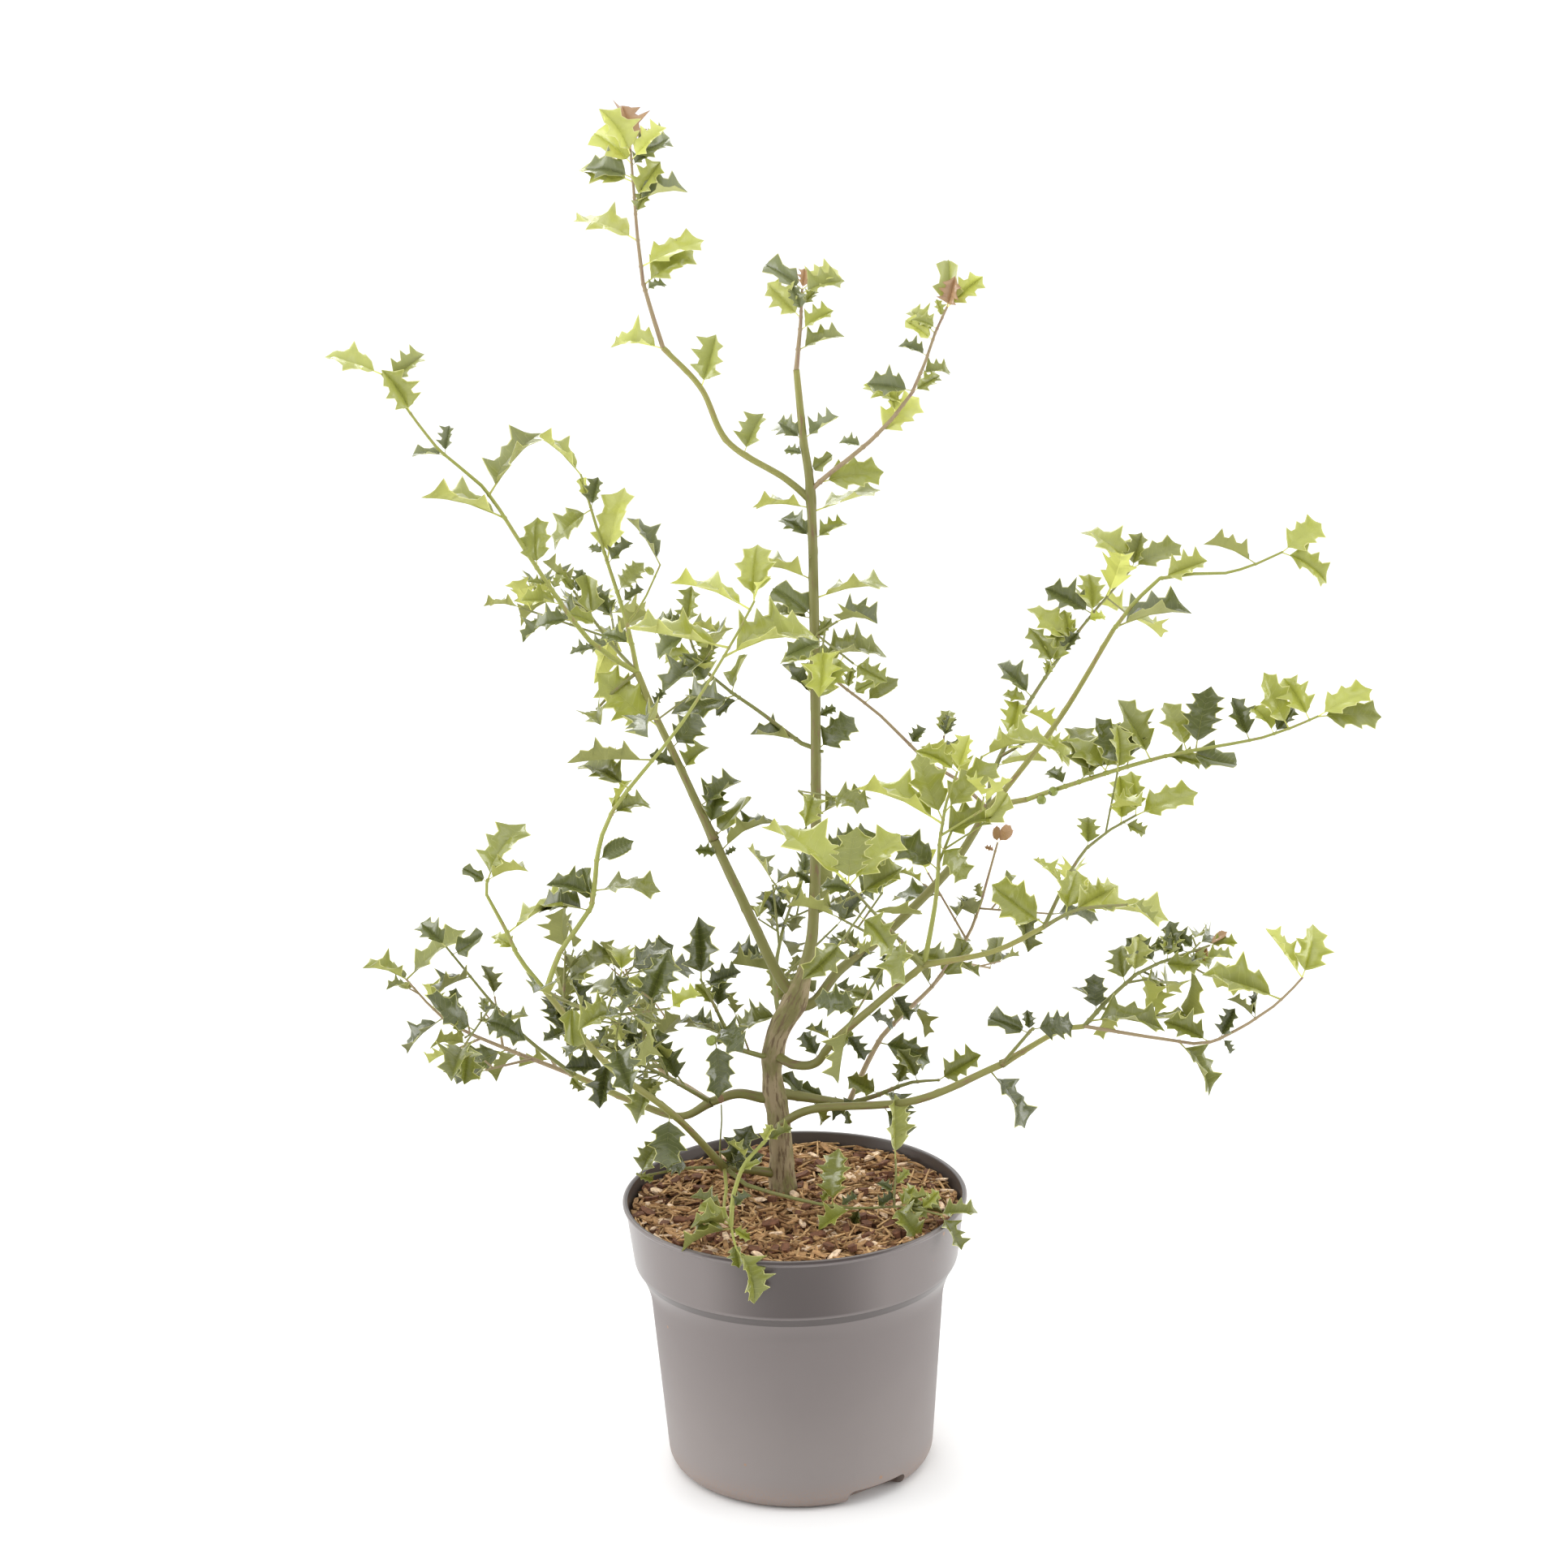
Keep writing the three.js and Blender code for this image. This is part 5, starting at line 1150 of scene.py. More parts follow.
def makeLeafMaterial(name, tint, side, paintedLight, paintedGlare):
    s = leafSkin
    glossy, ribbed = side == "upper", side == "rib"
    values = {"Specular IOR Level": s["specular" if glossy else "dullSpecular"]}
    if glossy:
        values.update({"Coat Weight": s["coat"], "Coat Roughness": s["coatRoughness"]})
    material, tree, shader = newMaterial(name, tint["gloss"] if glossy else s["dullRoughness"], values)
    # The upper, under and rib colours are lit or shaded copies of the tint by height: painted light.
    blade = placeGroup(tree, bladeGroup, {
        "Colour": tuple(min(1.0, c * paintedLight + paintedGlare) for c in linear(*tint[side])),
        "Edge": linear(*tint["edge"]),
        "Vein": linear(*tint["rib"]),
        "Edge width": -1.0 if ribbed else s["edgeWidth"],
        "Vein strength": 0.0 if ribbed else s["veinStrength"],
    })
    join(tree, (blade.outputs["Colour"], shader.inputs["Base Color"]))
    addBump(tree, shader, blade.outputs["Height"], s["bump"], s["bumpDepth"])
    return material


def makeLeafMaterials():
    made = {}
    for name, tint in leafTints.items():
        for level, (_, paintedLight, paintedGlare) in paintedSunLevels.items():
            key = name + "_" + level
            made[key] = [
                makeLeafMaterial("leaf_%s_%s" % (key, side), tint, side, paintedLight, paintedGlare)
                for side in ("upper", "under", "rib")
            ]
    return made


# Bark runs from old and grey, youth 0, to a green shoot, youth 1, and gets paler beyond. Its fibres follow
# the place given. Pairs are the levels between which a thing sets in.
barkLook = dict(
    fibres=dict(scale=420.0, detail=4.0, roughness=0.6, stretch=(1.0, 1.0, 0.16)),
    blotches=dict(scale=60.0, detail=3.0, roughness=0.6, stretch=(1.0, 1.0, 0.5)),
    patches=dict(scale=34.0, roughness=0.5),
    cracks=(0.5, 0.38), algae=(0.42, 0.62), streaks=(0.5, 0.66), streakPatches=(0.42, 0.6), wander=0.7,
    green=(0.3, 0.7), paler=(1.0, 1.3), palerBy=0.6, roughness=0.85, smoother=0.3, relief=1.15,
)


def makeBarkGroup():
    s = barkLook
    group, given, out = newGroup("bark", [
        ("Place", "Vector", None), ("Youth", "Float", 1.0), ("Old", "Color", None),
        ("Fissure", "Color", None), ("Algae", "Color", None), ("Young", "Color", None),
        ("Streak", "Color", None),
    ], [("Colour", "Color"), ("Height", "Float"), ("Roughness", "Float")])
    grain, youth = given.outputs["Place"], given.outputs["Youth"]
    fibres, blotches, patches = (noiseAt(group, grain, **s[k]) for k in ("fibres", "blotches", "patches"))
    old = mixColours(group, fade(group, blotches, *s["algae"]), given.outputs["Old"], given.outputs["Algae"])
    old = mixColours(group, fade(group, fibres, *s["cracks"]), old, given.outputs["Fissure"])
    streaks = times(group, fade(group, fibres, *s["streaks"]), fade(group, patches, *s["streakPatches"]))
    young = mixColours(group, streaks, given.outputs["Young"], given.outputs["Streak"])
    wander = times(group, minus(group, patches, 0.5), s["wander"])
    share = fade(group, plus(group, youth, wander), *s["green"])
    paler = plus(group, times(group, fade(group, youth, *s["paler"]), s["palerBy"]), 1.0)
    colour = scaled(group, mixColours(group, share, old, young), paler)
    rough = minus(group, s["roughness"], times(group, share, s["smoother"]))
    height = times(group, fibres, minus(group, s["relief"], share))
    join(group, (colour, out.inputs["Colour"]), (height, out.inputs["Height"]))
    join(group, (rough, out.inputs["Roughness"]))
    return group


barkGroup = makeBarkGroup()

# Old bark is the same all over; young wood is green, olive or brown.
barkTints = dict(old=(158, 142, 112), fissure=(112, 94, 70), algae=(124, 118, 74))
woodTints = {
    "trunk": dict(young=(116, 114, 58), streak=(114, 92, 62)),
    "green": dict(young=(146, 150, 72), streak=(146, 132, 82)),
    "olive": dict(young=(122, 124, 66), streak=(128, 106, 74)),
    "brown": dict(young=(150, 132, 100), streak=(134, 104, 92)),
}

woodBump = dict(strength=0.6, distance=0.0008)


def makeWoodMaterials():
    made = {}
    for name, tint in woodTints.items():
        material, tree, shader = newMaterial("wood_" + name, 0.7)
        colours = dict(barkTints, **tint)
        bark = placeGroup(tree, barkGroup, {key.title(): linear(*c) for key, c in colours.items()})
        if name == "trunk":
            grain, youth = attribute(tree, "grain", "Vector"), attribute(tree, "youth")
            join(tree, (grain, bark.inputs["Place"]), (youth, bark.inputs["Youth"]))
        else:
            join(tree, (onPiece(tree), bark.inputs["Place"]))
        join(tree, (bark.outputs["Colour"], shader.inputs["Base Color"]),
             (bark.outputs["Roughness"], shader.inputs["Roughness"]))
        addBump(tree, shader, bark.outputs["Height"], **woodBump)
        made[name] = material
    return made


plainGrain = dict(detail=4.0, roughness=0.6, levels=(0.3, 0.7), bump=0.4, bumpDepth=0.0008)


# A plain colour that varies a little, for chips, berries and small things.
def plainMaterial(name, colour, roughness, spread=0.25, scale=160.0):
    s = plainGrain
    material, tree, shader = newMaterial(name, roughness)
    grain = noiseAt(tree, onPiece(tree), scale, s["detail"], s["roughness"])
    dark, light = (
        (*(min(1.0, c * level) for c in linear(*colour)[:3]), 1.0) for level in (1 - spread, 1 + spread)
    )
    mixed = mixColours(tree, fade(tree, grain, *s["levels"]), dark, light)
    join(tree, (mixed, shader.inputs["Base Color"]))
    addBump(tree, shader, grain, s["bump"], s["bumpDepth"])
    return material


# Moulded plastic: a matt skin with faint mottling, splashed near the floor, with few spots. Light and shade
# are
# painted on it: painted shade darkens the collar and just under it where it is seen face on, and gives way at
# a slant as a painted reflection; the wall is paler the lower down as painted bounce light from the floor; a
# painted highlight runs along the collar's foot; the inner wall above the bed is darker as painted shade.
# Lengths are in metres, and pairs are the levels between which a thing sets in.
potPlastic = dict(
    collar=(60, 50, 48), outside=(114, 106, 104), paintedBounce=(134, 126, 123), inside=(78, 71, 69),
    speck=(160, 118, 84), edgeGlint=(112, 104, 102), roughness=0.46, cloudRoughness=0.14,
    collarSmoother=0.22, specular=0.55, cloud=dict(scale=9.0, detail=3.0), fine=dict(scale=900.0),
    bounceHeights=(0.0, 0.15), bounceWander=0.04, collarShadeHeights=(0.15, 0.171), slants=(0.34, 0.1),
    edgeHeight=0.1772, edgeSpread=(0.0022, 0.0004), edgeShare=0.7, splashHeights=(0.03, 0.0),
    splashGrain=(0.4, 0.6), splashShare=0.4, spotScale=26.0, spotSizes=(0.055, 0.03), spotShare=0.75,
    bump=0.08, bumpDepth=0.0003, lipFoot=0.2255, wallThere=0.1376, wallSlope=0.13, insideAbove=0.17,
)


def makePotMaterial():
    s = potPlastic
    material, tree, shader = newMaterial("pot_plastic", s["roughness"], {"Specular IOR Level": s["specular"]})
    place = onPiece(tree)
    x, y, z = split(tree, place)
    cloud, fine = noiseAt(tree, place, **s["cloud"]), noiseAt(tree, place, **s["fine"])

    def painted(base, share, colour):
        return mixColours(tree, share, base, linear(*s[colour]))

    # Painted bounce light from the floor: the wall is paler the lower down.
    wandering = plus(tree, z, times(tree, minus(tree, cloud, 0.5), s["bounceWander"]))
    bounceShare = fade(tree, wandering, *s["bounceHeights"])
    base = mixColours(tree, bounceShare, linear(*s["paintedBounce"]), linear(*s["outside"]))
    # Painted shade on the collar and just under it, only where it is seen face on; at a slant it gives way,
    # as a painted reflection.
    collarShade = fade(tree, z, *s["collarShadeHeights"])
    slant = addNode(tree, "LayerWeight").outputs["Facing"]
    base = painted(base, times(tree, collarShade, fade(tree, slant, *s["slants"])), "collar")
    # A painted highlight along the collar's foot edge.
    edge = fade(tree, apart(tree, z, s["edgeHeight"]), *s["edgeSpread"])
    base = painted(base, times(tree, edge, s["edgeShare"]), "edgeGlint")
    splash = times(tree, fade(tree, z, *s["splashHeights"]), fade(tree, fine, *s["splashGrain"]))
    base = painted(base, times(tree, splash, s["splashShare"]), "speck")
    spots = addNode(tree, "TexVoronoi", {"Scale": s["spotScale"], "Randomness": 1.0})
    join(tree, (place, spots.inputs["Vector"]))
    spotted = fade(tree, spots.outputs["Distance"], *s["spotSizes"])
    base = painted(base, times(tree, spotted, s["spotShare"]), "speck")
    # Painted shade: the inner wall above the bed is darker.
    radius = maths(tree, "SQRT", plus(tree, times(tree, x, x), times(tree, y, y)))
    wall = minus(tree, s["wallThere"], times(tree, minus(tree, s["lipFoot"], z), s["wallSlope"]))
    within, raised = maths(tree, "LESS_THAN", radius, wall), maths(tree, "GREATER_THAN", z, s["insideAbove"])
    base = painted(base, times(tree, within, raised), "inside")
    rough = plus(tree, s["roughness"], times(tree, cloud, s["cloudRoughness"]))
    rough = minus(tree, rough, times(tree, collarShade, s["collarSmoother"]))
    join(tree, (base, shader.inputs["Base Color"]), (rough, shader.inputs["Roughness"]))
    addBump(tree, shader, fine, s["bump"], s["bumpDepth"])
    return material


leafMaterials = makeLeafMaterials()
woodMaterials = makeWoodMaterials()
print("materials made")


def finishPiece(name, mesh, materials, sharp=None):
    piece = linkObject(name, mesh)
    for material in materials:
        mesh.materials.append(material)
    mesh.shade_smooth()
    if sharp:
        mesh.set_sharp_from_angle(angle=math.radians(sharp))
    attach(piece, "root")
    return piece


def meshOf(bm, name):
    mesh = bpy.data.meshes.new(name)
    bm.to_mesh(mesh)
    bm.free()
    return mesh


# Turns the faces outwards and goes from millimetres to metres.
def meshInMetres(bm, name):
    bmesh.ops.recalc_face_normals(bm, faces=bm.faces)
    bmesh.ops.transform(bm, matrix=Matrix.Scale(mm, 4), verts=bm.verts)
    return meshOf(bm, name)


# Spins a profile once round the upright axis.
def spinRound(bm, steps):
    bmesh.ops.spin(bm, geom=bm.verts[:] + bm.edges[:], cent=(0, 0, 0), axis=(0, 0, 1), dvec=(0, 0, 0),
                   angle=2 * math.pi, steps=steps, use_merge=True, use_duplicate=False)
    bmesh.ops.remove_doubles(bm, verts=bm.verts, dist=1e-4)


# A ring's own directions and place as a matrix.
def ringMatrix(point, first, second, along, radius):
    m = np.eye(4)
    m[:3, 0], m[:3, 1], m[:3, 2], m[:3, 3] = first * radius, second * radius, along, point
    return Matrix(m.tolist())


# Sweeps a circle along a line of points by extruding its edge ring by ring, and closes both ends. Returns
# the verts of each ring.
def sweep(bm, points, radii, sides):
    points = [np.array(p, float) for p in points]
    circle = bmesh.ops.create_circle(bm, cap_ends=False, segments=sides, radius=1.0)["verts"]
    edges = list({e for v in circle for e in v.link_edges})
    firstEdges = edges
    rings, first, before = [], None, Matrix.Identity(4)
    for i, point in enumerate(points):
        along = unit(points[min(i + 1, len(points) - 1)] - points[max(i - 1, 0)])
        first = sideways(along)[0] if first is None else unit(first - along * (first @ along))
        here = ringMatrix(point, first, np.cross(along, first), along, radii[i])
        if i == 0:
            verts = circle
        else:
            made = bmesh.ops.extrude_edge_only(bm, edges=edges)["geom"]
            verts = [g for g in made if isinstance(g, bmesh.types.BMVert)]
            edges = [g for g in made if isinstance(g, bmesh.types.BMEdge)]
        bmesh.ops.transform(bm, matrix=here @ before.inverted(), verts=verts)
        before = here
        rings.append(verts)
    for loop in (firstEdges, edges):
        bmesh.ops.edgeloop_fill(bm, edges=loop)
    return rings


# Sizes are shares of the leaf's length. depth: how far the edge cuts in between two spines. fold: how
# steeply the halves stand up. cup: how far each half bulges. wave: how far the spines turn up and down.
# arch: how far the tip bends back. Pairs are the ends of a range.
leafShapes = dict(
    seed=31, formSeed=40, dealSeed=900, petiole=0.13, width=(0.6, 0.76), fold=(0.25, 0.9), cup=(0.1, 0.24),
    wave=(0.05, 0.11), arch=(0.02, 0.42), twist=(-0.9, 0.9), lean=(-0.14, 0.14), twistFrom=0.3,
    archShortens=0.3, spineReach=0.035, thickness=0.012, ribRadius=0.008, petioleRadius=0.015,
    ribPlaces=(0.0, 0.35, 0.7, 0.97), ribTaper=(1.5, 1.1, 0.7, 0.2), ribSunk=0.3, ribSides=3, sharp=70,
)
# Spines and depth of each usual leaf, then those of the other forms and what is different in them.
leafKinds = [(3, 0.5), (3, 0.44), (3, 0.52), (3, 0.56), (2, 0.5), (3, 0.46), (3, 0.54), (3, 0.48)] * 2
leafForms = dict(
    broad=dict(kinds=[(3, 0.38), (4, 0.4), (3, 0.44), (3, 0.34)], width=(0.64, 0.74), fold=(0.1, 0.4)),
    large=dict(kinds=[(3, 0.4), (3, 0.36), (4, 0.42), (3, 0.44)], width=(0.54, 0.66), fold=(0.25, 0.8)),
    narrow=dict(kinds=[(3, 0.4), (4, 0.38), (3, 0.46)], width=(0.5, 0.6), fold=(0.5, 0.9), arch=(0.08, 0.3)),
    oval=dict(kinds=[(6, 0.07), (6, 0.05)], width=(0.44, 0.54), fold=(0.1, 0.3), wave=(0.0, 0.012)),
)

# Rows across the blade are (place along it, half width as a share, how far it waves). Around each spine, a
# row is (place in pitches from it, how deep it cuts in, how far it waves).
bladeOutline = dict(
    foot=[(0.0, 0.04, 0.0), (0.07, 0.45, 0.0)], tip=[(0.91, 0.42, 0.0), (1.0, 0.02, 0.0)],
    spine=[(-0.34, 1.0, 0.2), (0.06, 0.0, 1.0), (0.32, 0.9, 0.2)], firstSpine=0.2, lastSpine=0.78,
    widthFrom=0.1, widthSpan=0.84, fullness=0.6,
)


def bladeRows(spines, depth):
    s = bladeOutline
    rows = list(s["foot"])
    pitch = (s["lastSpine"] - s["firstSpine"]) / (spines - 1)
    for k in range(spines):
        tip = s["firstSpine"] + pitch * k
        sign = 1 if k % 2 else -1
        rows += [(tip + offset * pitch, 1 - cut * depth, wave * sign) for offset, cut, wave in s["spine"]]
    return rows + s["tip"]


def envelope(along):
    s = bladeOutline
    return math.sin(math.pi * min(1.0, s["widthFrom"] + s["widthSpan"] * along)) ** s["fullness"]


# How far from its root a place on the blade is. An arched leaf is shorter.
def bladePlace(along, arch):
    s = leafShapes
    return s["petiole"] + (1 - s["petiole"]) * along - s["archShortens"] * arch * along ** 3


# One face of the blade as a grid. The inner columns end on the middle one, so that both faces can be joined.
def makeBlade(bm, uvMap, columns, rows, form, drop, index):
    s = leafShapes
    last = len(rows) - 1
    made = bmesh.ops.create_grid(bm, x_segments=columns, y_segments=last, size=0.5)["verts"]
    onBlade = {}
    for v in made:
        side, row = round(v.co.x * 8) / 4, round((v.co.y + 0.5) * last)
        along, share, waving = rows[row]
        ended = row in (0, last)
        if ended and abs(side) < 1:
            side = 0.0
        onBlade[v] = (side, along)
        half = form["width"] / 2 * envelope(along) * share
        turn = form["twist"] * (along - s["twistFrom"])
        x = side * half
        z = form["fold"] * abs(x) + form["wave"] * waving * side * abs(side)
        if abs(side) == 0.5:
            z += form["cup"] * half
        if side == 0 and not ended:
            z -= drop
        spread = s["spineReach"] if abs(side) == 1 and abs(waving) == 1 else 0.0
        y = bladePlace(along, form["arch"]) + spread
        x, z = x * math.cos(turn) - z * math.sin(turn), x * math.sin(turn) + z * math.cos(turn)
        v.co = (x + form["lean"] * along * along, y, z - form["arch"] * along * along)
    faces = list({f for v in made for f in v.link_faces})
    for face in faces:
        face.material_index = index
        for loop in face.loops:
            side, along = onBlade[loop.vert]
            loop[uvMap].uv = (0.5 + side / 2, along)
    return faces


def makeLeafShape(number, kind, changes):
    s = dict(leafShapes, **changes)
    draw = seeded(s["seed"] + number)
    names = ("width", "fold", "cup", "wave", "arch", "twist", "lean")
    form = {n: s[n][0] + (s[n][1] - s[n][0]) * draw() for n in names}
    rows = bladeRows(*kind)
    bm = bmesh.new()
    uvMap = bm.loops.layers.uv.new("leaf")
    makeBlade(bm, uvMap, 4, rows, form, 0.0, 0)
    under = makeBlade(bm, uvMap, 2, rows, form, s["thickness"], 1)
    bmesh.ops.reverse_faces(bm, faces=under)
    bmesh.ops.remove_doubles(bm, verts=bm.verts, dist=1e-5)
    line = [(0, 0, 0)]
    for along in s["ribPlaces"]:
        sunk = form["arch"] * along * along + s["ribSunk"] * s["thickness"]
        line.append((form["lean"] * along * along, bladePlace(along, form["arch"]), -sunk))
    before = set(bm.faces)
    radii = [s["petioleRadius"]] + [s["ribRadius"] * share for share in s["ribTaper"]]
    sweep(bm, line, radii, s["ribSides"])
    ribFaces = [f for f in bm.faces if f not in before]
    for face in ribFaces:
        face.material_index = 2
    bmesh.ops.recalc_face_normals(bm, faces=ribFaces)
    return shapeArrays(meshOf(bm, "leaf_shape"))


# The points, faces, materials and leaf map of a small mesh, ready to be laid out many times.
def shapeArrays(mesh):
    points = np.empty(len(mesh.vertices) * 3)
    mesh.vertices.foreach_get("co", points)
    faces = [tuple(p.vertices) for p in mesh.polygons]
    kinds = [p.material_index for p in mesh.polygons]
    uv = np.zeros(len(mesh.loops) * 2)
    if mesh.uv_layers:
        mesh.uv_layers[0].data.foreach_get("uv", uv)
    bpy.data.meshes.remove(mesh)
    return dict(points=points.reshape(-1, 3), faces=faces, kinds=kinds, uv=uv)


# One mesh of many copies. Each copy is (shape, three directions times their sizes as rows, place, shade).
def joinCopies(name, copies):
    points, faces, kinds, uv, shades, start = [], [], [], [], [], 0
    for shape, axes, place, shade in copies:
        points.append(shape["points"] @ np.array(axes) + np.array(place))
        faces += [tuple(v + start for v in face) for face in shape["faces"]]
        kinds += shape["kinds"]
        uv.append(shape["uv"])
        shades.append(np.full(len(shape["points"]), shade))
        start += len(shape["points"])
    mesh = bpy.data.meshes.new(name)
    mesh.from_pydata((np.concatenate(points) * mm).tolist(), [], faces)
    mesh.polygons.foreach_set("material_index", kinds)
    mesh.uv_layers.new(name="leaf").data.foreach_set("uv", np.concatenate(uv))
    mesh.attributes.new("shade", "FLOAT", "POINT").data.foreach_set("value", np.concatenate(shades))
    mesh.update()
    return mesh


# How large the rule's leaves and the placed ones are made, and the length in mm from which a leaf has the
# large form.
leafSizes = dict(rule=0.88, placed=1.06, largeFrom=46)

# Which tints a mass deals out, the first most often: a draw takes the first tint whose limit it is under.
toneShares = {
    "mature": [("mature", 0.66), ("mid", 0.92), ("young", 1.0)],
    "mid": [("mid", 0.5), ("mature", 0.78), ("young", 1.0)],
    "young": [("young", 0.52), ("mid", 0.82), ("pale", 1.0)],
    "pale": [("pale", 0.6), ("young", 0.92), ("mid", 1.0)],
}


# The shapes of each form; those under None are the usual ones.
def makeLeafShapes():
    shapes = {None: [makeLeafShape(i, kind, {}) for i, kind in enumerate(leafKinds)]}
    for form, changes in leafForms.items():
        kinds = enumerate(changes["kinds"], leafShapes["formSeed"])
        shapes[form] = [makeLeafShape(i, kind, changes) for i, kind in kinds]
    return shapes


def makeLeaves():
    s = leafSizes
    shapes = makeLeafShapes()
    dealt = {}
    for name, g in grown.items():
        draw = seeded(masses[name]["seed"] + leafShapes["dealSeed"])
        shares = toneShares[masses[name]["tone"]]
        for leaf in g["leaves"] + g["fineLeaves"]:
            chance = draw()
            tint = leaf.get("tint") or next(t for t, limit in shares if chance <= limit)
            size = leaf["length"] * s["placed" if "tint" in leaf else "rule"]
            axes = [leaf["across"] * size, leaf["direction"] * size, leaf["face"] * size]
            choice = shapes[leaf.get("form") or ("large" if size > s["largeFrom"] else None)]
            shape = choice[int(draw() * len(choice)) % len(choice)]
            # A leaf takes the painted light of the height at which it stands.
            level = next(n for n, (top, _, _) in paintedSunLevels.items() if leaf["root"][2] < top)
            dealt.setdefault(tint + "_" + level, []).append((shape, axes, leaf["root"], draw()))
    pieces = []
    for tint, copies in dealt.items():
        name = "leaves_" + tint
        mesh = joinCopies(name, copies)
        pieces.append(finishPiece(name, mesh, leafMaterials[tint], leafShapes["sharp"]))
        print("leaves", tint, len(copies), "with", len(mesh.polygons), "faces")
    return pieces


leafPieces = makeLeaves()

# Relief in millimetres on old wood; it fades out on green wood. Collars swell the trunk where boughs leave.
# Grains are noise scales across and along the wood.
woodRelief = dict(
    step=2.5, trunkSides=36, boughSides=16, lumps=0.5, lumpGrain=(0.12, 0.06), lumpsOnGreen=0.4, lumpsFrom=4,
    fissures=0.5, fineGrain=(0.9, 0.09), coarseGrain=(0.4, 0.05), coarseShare=0.5, coarseShift=7,
    fissureWidth=0.35, nodeGap=21, node=0.55, nodeReach=2.2, oldRadius=8.4, youngRadius=3.6,
    collar=0.32, collarReach=9, collarWithin=12, collarAhead=0.9, footSwelling=0.35, footReach=9,
    grainApart=50,
)
# place, height and reach of each swelling
trunkSwellings = [
    ((-26, 30, 335), 2.2, 9), ((8, 24, 378), 1.2, 7), ((-10, 30, 366), 1.5, 8), ((-20, 46, 232), 1.6, 9),
]
pruningScar = dict(place=(6, 27, 385), radius=4.6, sunk=1.6)


# 0 on old wood and 1 on green wood, and more where a green limb gets thin.
def youthOf(radius):
    s = woodRelief
    return max(0.0, (s["oldRadius"] - radius) / (s["oldRadius"] - s["youngRadius"]))


def woodNoise(place, grain, shift=0):
    across, along = grain
    return noise.noise(Vector((place[0] * across + shift, place[1] * across, place[2] * along)))


def fissureDepth(place):
    s = woodRelief
    coarse = woodNoise(place, s["coarseGrain"], s["coarseShift"])
    level = woodNoise(place, s["fineGrain"]) + s["coarseShare"] * coarse
    return max(0.0, s["fissureWidth"] - abs(level)) * 2


# One limb with its relief. Returns a mesh whose attributes say how its grain runs and how young it is.
def makeLimb(name, points, radii, sides, offset, collars=()):
    s = woodRelief
    bm = bmesh.new()
    grain = bm.verts.layers.float_vector.new("grain")
    youth = bm.verts.layers.float.new("youth")
    rings = sweep(bm, points, radii, sides)
    reached = 0.0
    for i, (ring, point, radius) in enumerate(zip(rings, points, radii)):
        reached += math.dist(point, points[i - 1]) if i else 0.0
        thin = youthOf(radius)
        young = min(1.0, thin)
        node = math.floor(reached / s["nodeGap"] + 0.5)
        atNode = math.exp(-(((reached / s["nodeGap"] - node) * s["nodeGap"] / s["nodeReach"]) ** 2))
        lumps = s["lumps"] * (s["lumpsOnGreen"] + (1 - s["lumpsOnGreen"]) * (1 - young))
        for j, v in enumerate(ring):
            out = np.array(v.co) - point
            out = out / max(1e-6, math.sqrt(out @ out))
            angle = 2 * math.pi * j / sides
            straight = (math.cos(angle) * radius + offset, math.sin(angle) * radius, reached)
            v[grain] = Vector(straight) * mm
            v[youth] = thin
            rise = lumps * woodNoise(straight, s["lumpGrain"]) * min(1.0, radius / s["lumpsFrom"])
            rise -= s["fissures"] * (1 - young) * fissureDepth(straight)
            facing = max(0.0, math.cos(angle - node * goldenAngle))
            rise += s["node"] * young * facing ** 3 * atNode
            for place, height, reach in collars:
                away = np.array(v.co) - np.array(place)
                rise += height * math.exp(-(away @ away) / reach ** 2)
            v.co += Vector(out * rise)
    return meshInMetres(bm, name)


def makeTrunk():
    s = woodRelief
    points = smoothPath(trunkKnots, s["step"])
    radii = [trunkRadius(p[2]) for p in points]
    collars = list(trunkSwellings)
    for bough in boughs.values():
        foot, second = (np.array(p, float) for p in bough["knots"][:2])
        if min(math.dist(foot, p) for p in points) < s["collarWithin"]:
            ahead = foot + unit(second - foot) * trunkRadius(foot[2]) * s["collarAhead"]
            collars.append((tuple(ahead), bough["foot"] * s["collar"], s["collarReach"]))
    scar = pruningScar
    collars.append((scar["place"], -scar["sunk"], scar["radius"]))
    trunk = makeLimb("trunk_wood", points, radii, s["trunkSides"], 0, collars)
    return finishPiece("trunk_wood", trunk, [woodMaterials["trunk"]])


# All boughs are one piece: each starts a little inside the wood that carries it, with a thicker foot.
def makeBoughs():
    s = woodRelief
    bm = bmesh.new()
    for i, (name, bough) in enumerate(boughs.items()):
        points = smoothPath(bough["knots"], s["step"])
        limb = Shoot(points, bough["foot"], bough["end"])
        swelling = [1 + s["footSwelling"] * math.exp(-d / s["footReach"]) for d in limb.reached]
        radii = [limb.radius(d) * more for d, more in zip(limb.reached, swelling)]
        mesh = makeLimb(name, points, radii, s["boughSides"], s["grainApart"] * (i + 1))
        bm.from_mesh(mesh)
        bpy.data.meshes.remove(mesh)
    return finishPiece("bough_wood", meshOf(bm, "bough_wood"), [woodMaterials["trunk"]])


trunkPiece = makeTrunk()
boughPiece = makeBoughs()
print("trunk and boughs made")

# Lengths in millimetres. A node is where a leaf stands.
twigForm = dict(sides=2, swelling=1.28, nodeHalf=1.6, pointStep=12, shortest=4.0, beyondLeaf=1.0)


